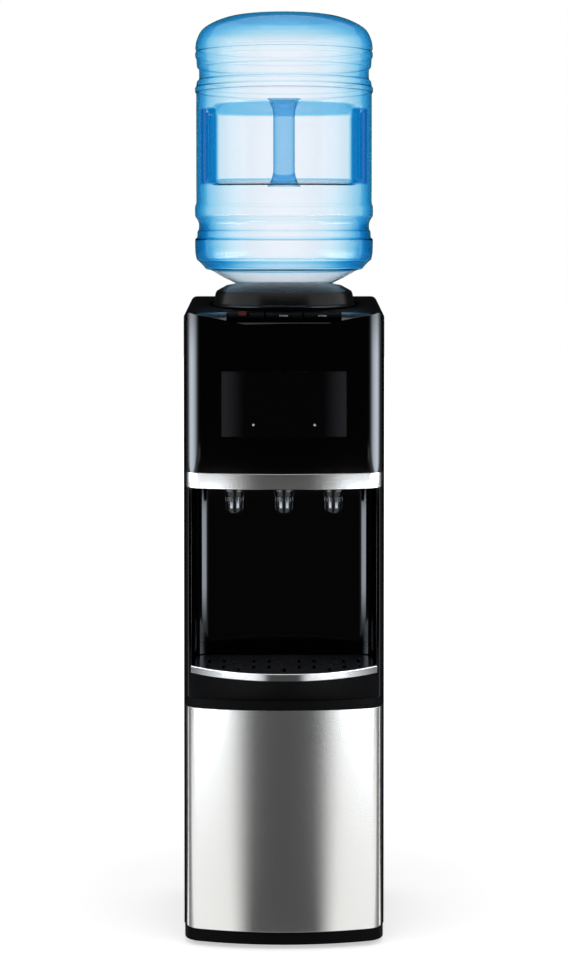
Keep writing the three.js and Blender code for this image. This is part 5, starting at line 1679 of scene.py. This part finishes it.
@dataclass
class Bottle(Assembly):
    """The inverted bottle: a ribbed shell with a recess that a grip bar crosses."""

    body: float = 138.0
    neck: float = 28.0
    neck_height: float = 51.0
    seat: float = 76.7
    seat_rise: float = 22.5
    wall: float = 1.8
    recess_low: float = 225.0
    recess_high: float = 352.0
    flat: float = 46.0
    side_wall: float = 25.0
    side_edge: float = 126.0
    ceiling_slope: float = 20.0
    floor_slope: float = 12.0
    bar_width: float = 33.0
    bar_depth: float = 34.0
    bar_flare: float = 9.0
    bar_flare_depth: float = 14.0
    bar_flare_height: float = 26.0
    bar_overlap: float = 3.0
    bar_inset: float = 0.6
    bar_roundness: float = 0.7
    bar_levels: int = 28
    bar_sides: int = 40
    ring_margin: float = 6.0
    floor_pitch: float = 0.9
    wall_pitch: float = 3.0
    ceiling_pitch: float = 1.1
    curve_steps: int = 4
    steps: int = 144

    # Radii as shares of the body's, heights as shares of the height above the seat
    side_shares = (
        (0.696, 0.0225), (0.822, 0.046), (0.888, 0.0525), (0.92, 0.064), (0.965, 0.079), (0.993, 0.087),
        (1.004, 0.1), (1.012, 0.12), (1.014, 0.1585), (1.009, 0.1645), (0.993, 0.1695), (0.989, 0.177),
        (0.988, 0.188), (0.984, 0.194), (0.973, 0.1985), (0.97, 0.207), (0.971, 0.222), (0.988, 0.237),
        (1.009, 0.247), (1.014, 0.258), (1.014, 0.284), (1.0, 0.302), (1.0, 0.36), (1.0, 0.45), (1.0, 0.55),
        (1.0, 0.64), (1.0, 0.7), (1.004, 0.707), (1.013, 0.712), (1.014, 0.72), (1.012, 0.727), (1.0, 0.732),
        (0.995, 0.745), (0.988, 0.751), (0.971, 0.7565), (0.967, 0.766), (0.967, 0.789), (0.972, 0.797),
        (0.988, 0.8025), (0.994, 0.812), (0.997, 0.83), (1.0, 0.8355), (1.009, 0.8405), (1.011, 0.849),
        (1.009, 0.857), (1.002, 0.8605), (1.002, 0.866), (1.009, 0.8705), (1.008, 0.88), (0.996, 0.902),
        (0.951, 0.934), (0.877, 0.955), (0.746, 0.976), (0.58, 0.9905), (0.29, 0.9976),
    )

    def build(self) -> None:
        """Builds the bottle's shell, its grip bar and its cap."""
        box = Box.of("bottle")
        self.mouth = box.low.z
        self.centre = box.centre[1]
        shell = spun(self.profile(box), self.steps, (0.0, self.centre))
        self.press_recess(shell)
        thing = self.piece("bottle_shell", shell, BOTTLE_POLYCARBONATE, "bottle")
        walls = thing.modifiers.new("wall", "SOLIDIFY")
        walls.thickness = self.wall * MM
        walls.offset = -1.0
        self.piece("grip_bar", self.grip(), GRIP_POLYCARBONATE, "bottle_grip")
        self.refine("bottle_cap", "snap_cap", WHITE_POLYETHYLENE, 0.4)

    def profile(self, box: Box) -> list[Point]:
        """Draws the outside from the mouth to the middle of the base, with close rings at the recess.

        Args:
            box: The bottle's box.

        Returns:
            The open section as radius and height.
        """
        neck_top = self.mouth + self.neck_height
        seat_top = neck_top + self.seat_rise
        rise = box.high.z - seat_top
        side = [(self.seat, seat_top)]
        side += [(self.body * across, seat_top + up * rise) for across, up in self.side_shares]
        curve = smooth_curve([*side, (0.0, box.high.z)], self.curve_steps)
        curve = [(max(radius, 0.0), height) for radius, height in curve]
        heights = self.recess_heights()
        below = [p for p in curve if p[1] <= heights[0]]
        above = [p for p in curve if p[1] >= self.mouth + self.recess_high + self.ring_margin]
        middle = [(self.body, height) for height in heights]
        neck = [
            (self.neck, self.mouth), (self.neck, self.mouth + 16), (self.neck, neck_top - 4),
            (self.neck + 1.2, neck_top - 1), (self.neck + 4, neck_top + 1.8), (52.0, neck_top + 11.1),
        ]
        return [*neck, *below, *middle, *above]

    def recess_heights(self) -> list[float]:
        """Spaces the rings at the recess, closer where its floor and ceiling turn.

        Returns:
            The rings' levels.
        """
        low = self.mouth + self.recess_low - self.ring_margin
        high = self.mouth + self.recess_high + self.ring_margin
        floor_rings = int((self.floor_slope + 2 * self.ring_margin) / self.floor_pitch)
        heights = [low + i * self.floor_pitch for i in range(floor_rings)]
        ceiling = high - 2 * self.ring_margin - self.ceiling_slope
        for end, pitch in ((ceiling, self.wall_pitch), (high, self.ceiling_pitch)):
            start = heights[-1]
            heights += [start + pitch * (i + 1) for i in range(int((end - start) / pitch))]
        return heights

    def press_recess(self, bm: bmesh.types.BMesh) -> None:
        """Presses the handle's recess into the front of the shell.

        Args:
            bm: The shell, which is changed.
        """
        low = self.mouth + self.recess_low
        high = self.mouth + self.recess_high
        for vert in bm.verts:
            depth = vert.co.y - self.centre
            if depth > 0 or not low < vert.co.z < high:
                continue
            share = smoothstep(vert.co.z, low, low + self.floor_slope)
            share *= 1 - smoothstep(vert.co.z, high - self.ceiling_slope, high)
            share *= 1 - smoothstep(abs(vert.co.x), self.side_edge - self.side_wall, self.side_edge)
            vert.co.y += share * max(-self.flat - depth, 0.0)

    def grip(self) -> bmesh.types.BMesh:
        """Lofts the grip bar: straight in its middle and flared into the shell at both ends.

        Returns:
            The closed bar.
        """
        bm = bmesh.new()
        low = self.mouth + self.recess_low - self.bar_overlap
        high = self.mouth + self.recess_high + self.bar_overlap
        front = self.centre - self.body + self.bar_inset
        rings = []
        for i in range(self.bar_levels + 1):
            z = low + (high - low) * i / self.bar_levels
            near_end = min(z - low, high - z)
            flare = max(1 - near_end / self.bar_flare_height, 0.0) ** 2
            half_x = self.bar_width / 2 + self.bar_flare * flare
            depth = self.bar_depth + self.bar_flare_depth * flare
            ring = bmesh.ops.create_circle(bm, cap_ends=False, radius=1.0, segments=self.bar_sides)["verts"]
            for vert in ring:
                x, y = vert.co.x, vert.co.y
                across = math.copysign(abs(x) ** self.bar_roundness, x) * half_x
                back = math.copysign(abs(y) ** self.bar_roundness, y) * depth / 2
                bow = self.body - math.sqrt(self.body**2 - across**2)
                vert.co = Vector((across, front + depth / 2 + back + bow * (0.5 - back / depth), z))
            rings.append(list({edge for vert in ring for edge in vert.link_edges}))
        for first, second in zip(rings, rings[1:]):
            bmesh.ops.bridge_loops(bm, edges=[*first, *second])
        for ring in (rings[0], rings[-1]):
            bmesh.ops.contextual_create(bm, geom=[edge for edge in ring if edge.is_boundary])
        bmesh.ops.recalc_face_normals(bm, faces=bm.faces)
        return bm


@dataclass
class Inside(Assembly):
    """What works inside the cabinet and keeps its own solids."""

    def build(self) -> None:
        """Dresses the inner pieces."""
        self.dress(STAINLESS_DRAWN, "cold_tank", "hot_tank")
        self.dress(WHITE_POLYETHYLENE, "reservoir_baffle")
        self.dress(COPPER_TUBE, "evaporator_coil")
        self.dress(POLYURETHANE_FOAM, "insulation_jacket")
        self.dress(ZINC_PLATE, "hot_tank_shelf", "key_bracket")
        self.dress(BLACK_ENAMEL, "compressor")
        self.dress(BOARD_LAMINATE, "control_board")
        for place in ("hot", "room", "cold"):
            self.dress(ZINC_PLATE, f"push_rod_{place}")
            self.dress(SILICONE_HOSE, f"{place}_hose")
            self.dress(TEXTURED_ABS, f"tap_valve_{place}")


# Studio


@dataclass
class Studio:
    """A white floor and room, soft lamps, the camera, and cards that only reflections see.

    Places are in metres. A level of one is white.
    """

    camera_y: float = -3.020
    camera_height: float = 1.0804
    tilt_degrees: float = 1.5
    lens_mm: float = 72.46
    shift_up: float = -0.2035
    room_level: float = 0.62
    floor_half: float = 14.0
    floor_white: str = "#f2f2f2"
    aim_height: float = 0.8
    softbox_azimuth: float = 70.0
    softbox_distance: float = 2.0
    softbox_height: float = 1.0
    softbox_size: Point = (1.0, 1.9)
    softbox_level: float = 1.5
    top_place: tuple[float, float, float] = (0, -0.6, 3.0)
    top_aim: tuple[float, float, float] = (0, 0, 1.0)
    top_size: Point = (1.6, 1.2)
    top_level: float = 1.6
    glow_level: float = 15.0
    strip_level: float = 15.0
    floor_glow: float = 0.5
    far_glow: float = 0.75
    side_white: float = 0.86
    screen_distance: float = 3.3
    cool: str = "#e3edf9"
    polish_reach: float = 0.7
    fan_y: float = 0.09
    card_floor: float = -0.004
    card_near: float = -0.16
    card_half: float = 2.9
    band_low: float = 0.262
    band_high: float = 0.319
    wide_angle: float = 62
    narrow_angle: float = 42
    card_top: float = 2.6
    back_y: float = 1.2
    back_half: float = 2.2
    back_low: float = -0.6
    back_split: float = 0.95
    side_near: Point = (1.15, -1.75)
    side_far: Point = (1.55, 0.55)
    niche_near: Point = (1.30, -0.9)
    strip_near: Point = (0.42, -1.3)
    strip_far: Point = (1.05, -0.72)
    side_low: float = -1.2
    side_door_top: float = 0.16
    side_niche_top: float = 0.515
    side_band_top: float = 0.552
    side_top: float = 1.02
    strip_low: float = 0.22
    strip_high: float = 0.52

    def build(self) -> None:
        """Builds the studio."""
        self.camera()
        self.room()
        self.floor()
        self.lamps()
        self.cards()
        bpy.context.scene.view_settings.view_transform = "Standard"

    def camera(self) -> None:
        """Sets the camera as the photograph's view needs it."""
        data = bpy.data.cameras.new("camera")
        data.lens = self.lens_mm
        data.shift_y = self.shift_up
        thing = bpy.data.objects.new("camera", data)
        thing.location = (0.0, self.camera_y, self.camera_height)
        thing.rotation_euler = (math.radians(90 - self.tilt_degrees), 0.0, 0.0)
        bpy.context.scene.collection.objects.link(thing)
        bpy.context.scene.camera = thing

    def seen(self, tree: bpy.types.NodeTree) -> bpy.types.Node:
        """Adds the share that is one for the camera, for gloss and for what is seen through glass.

        Args:
            tree: The node tree.

        Returns:
            The node whose first output is the share.
        """
        path = add_node(tree, "ShaderNodeLightPath")
        seen = (path, "Is Camera Ray")
        for ray in ("Is Glossy Ray", "Is Transmission Ray"):
            share = add_node(tree, "ShaderNodeMath", {0: seen, 1: (path, ray)}, operation="MAXIMUM")
            seen = (share, 0)
        return share

    def room(self) -> None:
        """Makes the room white where it is seen and plain where it only lights."""
        world = bpy.data.worlds.new("white_room")
        bpy.context.scene.world = world
        world.use_nodes = True
        tree = world.node_tree
        tree.nodes.clear()
        level = add_node(tree, "ShaderNodeMapRange", {0: (self.seen(tree), 0), 3: self.room_level, 4: 1.0})
        light = add_node(tree, "ShaderNodeBackground", {"Color": linear("#ffffff"), "Strength": (level, 0)})
        add_node(tree, "ShaderNodeOutputWorld", {"Surface": (light, "Background")})

    def floor(self) -> None:
        """Lays the pale floor, which keeps the object's shadow and a faint reflection."""
        bm = bmesh.new()
        bmesh.ops.create_grid(bm, x_segments=1, y_segments=1, size=self.floor_half)
        mesh = bpy.data.meshes.new("studio_floor")
        bm.to_mesh(mesh)
        bm.free()
        material = bpy.data.materials.new("White studio floor")
        material.use_nodes = True
        tree = material.node_tree
        tree.nodes.clear()
        white = linear(self.floor_white)
        matt = add_node(tree, "ShaderNodeBsdfDiffuse", {"Color": white})
        polish = {"Base Color": white, "Roughness": 0.14, "Specular IOR Level": 0.5}
        polished = add_node(tree, "ShaderNodeBsdfPrincipled", polish)
        place = add_node(tree, "ShaderNodeTexCoord")
        distance = add_node(tree, "ShaderNodeVectorMath", {0: (place, "Object")}, operation="LENGTH")
        away = (distance, "Value")
        reach = self.polish_reach
        near = soft_step(tree, away, reach, reach / 2)
        surface = add_node(
            tree, "ShaderNodeMixShader", {0: (near, 0), 1: (matt, "BSDF"), 2: (polished, "BSDF")}
        )
        rising = soft_step(tree, away, reach, 4 * reach, self.floor_glow, self.far_glow)
        glow = add_node(tree, "ShaderNodeEmission", {"Color": linear("#ffffff"), "Strength": (rising, 0)})
        lit = add_node(tree, "ShaderNodeAddShader", {0: (surface, "Shader"), 1: (glow, "Emission")})
        seen = self.seen(tree)
        blend = add_node(
            tree, "ShaderNodeMixShader", {0: (seen, 0), 1: (surface, "Shader"), 2: (lit, "Shader")}
        )
        add_node(tree, "ShaderNodeOutputMaterial", {"Surface": (blend, "Shader")})
        mesh.materials.append(material)
        thing = bpy.data.objects.new("studio_floor", mesh)
        thing.visible_glossy = False
        bpy.context.scene.collection.objects.link(thing)

    def lamp(self, name: str, place: Vector, aim: Vector, size: Point, level: float) -> bpy.types.Object:
        """Hangs one softbox.

        Args:
            name: Its name.
            place: Where it hangs, in metres.
            aim: The point that it faces.
            size: Its width and height in metres.
            level: How bright its face is, where one is white.

        Returns:
            The lamp.
        """
        data = bpy.data.lights.new(name, "AREA")
        data.shape = "RECTANGLE"
        data.size, data.size_y = size
        data.energy = level * math.pi * size[0] * size[1]
        thing = bpy.data.objects.new(name, data)
        thing.location = place
        thing.rotation_euler = (aim - place).to_track_quat("-Z", "Y").to_euler()
        thing.visible_camera = False
        bpy.context.scene.collection.objects.link(thing)
        return thing

    def lamps(self) -> None:
        """Hangs a tall softbox at each side and a soft top light."""
        aim = Vector((0, 0, self.aim_height))
        lift = Vector((0, 0, self.softbox_height))
        angle = math.radians(self.softbox_azimuth)
        for name, side in (("softbox_left", -1), ("softbox_right", 1)):
            place = Vector((side * math.sin(angle), -math.cos(angle), 0)) * self.softbox_distance + lift
            softbox = self.lamp(name, place, aim, self.softbox_size, self.softbox_level)
            softbox.visible_glossy = False
        self.lamp("top_light", Vector(self.top_place), Vector(self.top_aim), self.top_size, self.top_level)

    def card(self, name: str, corners: list[tuple[float, float, float]], level: float) -> bpy.types.Object:
        """Sets up a card that only reflections see.

        Args:
            name: Its name.
            corners: Its corners in metres.
            level: How bright it looks in a reflection.

        Returns:
            The card.
        """
        bm = bmesh.new()
        bm.faces.new([bm.verts.new(corner) for corner in corners])
        return self.staged(name, bm, level)

    def staged(self, name: str, bm: bmesh.types.BMesh, level: float) -> bpy.types.Object:
        """Turns a card's shape into a card.

        Args:
            name: The card's name.
            bm: Its shape in metres; it is freed.
            level: How bright it looks in a reflection.

        Returns:
            The card.
        """
        mesh = bpy.data.meshes.new(name)
        bm.to_mesh(mesh)
        bm.free()
        material = bpy.data.materials.new(f"Studio {name}")
        material.use_nodes = True
        tree = material.node_tree
        tree.nodes.clear()
        glow = add_node(tree, "ShaderNodeEmission", {"Color": linear("#ffffff"), "Strength": level})
        add_node(tree, "ShaderNodeOutputMaterial", {"Surface": (glow, "Emission")})
        mesh.materials.append(material)
        thing = bpy.data.objects.new(name, mesh)
        bpy.context.scene.collection.objects.link(thing)
        thing.visible_camera = False
        thing.visible_diffuse = False
        thing.visible_transmission = False
        thing.visible_shadow = False
        return thing

    def glow_of(self, card: bpy.types.Object) -> bpy.types.Node:
        """Returns the node that sets a card's brightness and colour."""
        nodes = card.data.materials[0].node_tree.nodes
        return next(node for node in nodes if node.bl_idname == "ShaderNodeEmission")

    def axes_on(self, tree: bpy.types.NodeTree) -> bpy.types.Node:
        """Adds the three coordinates of a place on a card."""
        place = add_node(tree, "ShaderNodeTexCoord")
        return add_node(tree, "ShaderNodeSeparateXYZ", {0: (place, "Object")})

    def soften(self, card: bpy.types.Object, *fades: tuple[str, float, float, float, float]) -> None:
        """Makes a card's brightness the product of soft steps.

        Args:
            card: The card.
            fades: An axis with where a step starts and ends and its two values.
        """
        tree = card.data.materials[0].node_tree
        axes = self.axes_on(tree)
        level = None
        for axis, low, high, start, end in fades:
            step = soft_step(tree, (axes, axis), low, high, start, end)
            before = (level, 0) if level else 1.0
            level = add_node(tree, "ShaderNodeMath", {0: before, 1: (step, 0)}, operation="MULTIPLY")
        tree.links.new(level.outputs[0], self.glow_of(card).inputs["Strength"])

    def fan(self, card: bpy.types.Object, inner: float, outer: float, centre: float, side: float) -> None:
        """Makes a card dark in front and light to both sides, along lines that fan out from the object.

        Args:
            card: The card.
            inner: The slope of the line where the dark ends.
            outer: The slope of the line where the light is full.
            centre: Its brightness in the middle.
            side: Its brightness at the sides.
        """
        tree = card.data.materials[0].node_tree
        axes = self.axes_on(tree)
        across = add_node(tree, "ShaderNodeMath", {0: (axes, "X")}, operation="ABSOLUTE")
        ahead = add_node(tree, "ShaderNodeMath", {0: self.fan_y, 1: (axes, "Y")}, operation="SUBTRACT")
        slope = add_node(tree, "ShaderNodeMath", {0: (across, 0), 1: (ahead, 0)}, operation="DIVIDE")
        level = soft_step(tree, (slope, 0), inner, outer, centre, side)
        tree.links.new(level.outputs[0], self.glow_of(card).inputs["Strength"])

    def wall(
        self, name: str, near: Point, far: Point, low: float, high: float, level: float
    ) -> bpy.types.Object:
        """Sets up an upright card between two places in plan and two heights."""
        return self.card(name, [(*near, low), (*far, low), (*far, high), (*near, high)], level)

    def screen(self, name: str, half_angle: float, low: float, high: float, level: float) -> bpy.types.Object:
        """Sets up a curved card in front of the object, at one distance from it.

        Args:
            name: Its name.
            half_angle: How far it reaches to each side, in degrees.
            low: Its lower edge in metres.
            high: Its upper edge.
            level: How bright it looks in a reflection.

        Returns:
            The card.
        """
        start = Matrix.Rotation(-math.radians(half_angle), 3, "Z") @ Vector((0, -self.screen_distance, 0))
        bm = bmesh.new()
        verts = [bm.verts.new((start.x, start.y, height)) for height in (low, high)]
        edge = bm.edges.new(verts)
        turn = math.radians(2 * half_angle)
        bmesh.ops.spin(bm, geom=[*verts, edge], cent=(0, 0, 0), axis=(0, 0, 1), angle=turn, steps=48)
        return self.staged(name, bm, level)

    def side_cards(self, name: str, way: int) -> None:
        """Sets up one side's cards: one above the other for the door, the alcove and the panel above.

        Args:
            name: The side's name.
            way: Minus one for the left side, one for the right.
        """
        places = (self.side_near, self.side_far, self.niche_near, self.strip_near, self.strip_far)
        near, far, niche, start, end = ((way * x, y) for x, y in places)
        top = self.side_top
        band = self.side_band_top
        for part, low, high, dim in (
            ("door", self.side_low, self.side_door_top, 0.17), ("band", self.side_niche_top, band, 0.3),
        ):
            lit = self.wall(f"{part}_glow_{name}", near, far, low, high, 1.0)
            self.soften(lit, ("Y", -0.9, 0.15, self.side_white, dim))
        self.wall(f"niche_dark_{name}", niche, far, self.side_door_top, self.side_niche_top, 0.01)
        glow = self.wall(f"panel_glow_{name}", near, far, band, top, 1.0)
        self.soften(
            glow, ("Y", near[1], -0.5, 0.02, self.glow_level), ("Y", -0.3, far[1], 1.0, 0.05),
            ("Z", top - 0.22, top, 1.0, 0.0), ("Z", band, band + 0.012, 0.0, 1.0),
        )
        low = self.strip_low
        high = self.strip_high
        strip = self.wall(f"niche_strip_{name}", start, end, low, high, 1.0)
        self.soften(
            strip, ("X", start[0], start[0] + way * 0.2, 0.0, self.strip_level),
            ("Z", low, low + 0.08, 0.3, 1.0), ("Z", high - 0.06, high, 1.0, 0.0),
        )
        for card in (glow, strip):
            self.glow_of(card).inputs["Color"].default_value = linear(self.cool)

    def cards(self) -> None:
        """Sets up the cards round the object: dark in front and behind for depth, light at both sides."""
        level = self.card_floor
        near = self.card_near
        reach = -self.screen_distance
        side = self.card_half
        corners = [(-side, near, level), (side, near, level), (side, reach, level), (-side, reach, level)]
        floor = self.card("floor_card", corners, 1.0)
        rear = self.screen("rear_card", self.wide_angle, level, self.band_low, 1.0)
        for dark in (floor, rear):
            self.fan(dark, 0.2, 0.38, 0.065, self.side_white)
        band = self.screen("band_card", self.wide_angle, self.band_low, self.band_high, 1.0)
        self.fan(band, 0.13, 0.43, 0.25, 1.12)
        self.screen("high_card", self.narrow_angle, self.band_high, self.card_top, 0.01)
        left = (-self.back_half, self.back_y)
        right = (self.back_half, self.back_y)
        self.wall("back_card_low", left, right, self.back_low, self.back_split, 0.06)
        self.wall("back_card_high", left, right, self.back_split, self.card_top, 0.012)
        for name, way in (("left", -1), ("right", 1)):
            self.side_cards(name, way)


def main() -> None:
    """Builds the cooler's looks around its frame."""
    logging.basicConfig(level=logging.INFO, format="%(name)s: %(message)s")
    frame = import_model()
    Studio().build()
    cabinet = Cabinet(frame)
    plan = cabinet.plan()
    cabinet.build()
    Front(frame, plan).build()
    Taps(frame).build()
    Deck(frame, plan).build()
    DripTray(frame, plan).build()
    Collar(frame).build()
    Bottle(frame).build()
    Rear(frame).build()
    Inside(frame).build()


if __name__ == "__main__":
    main()
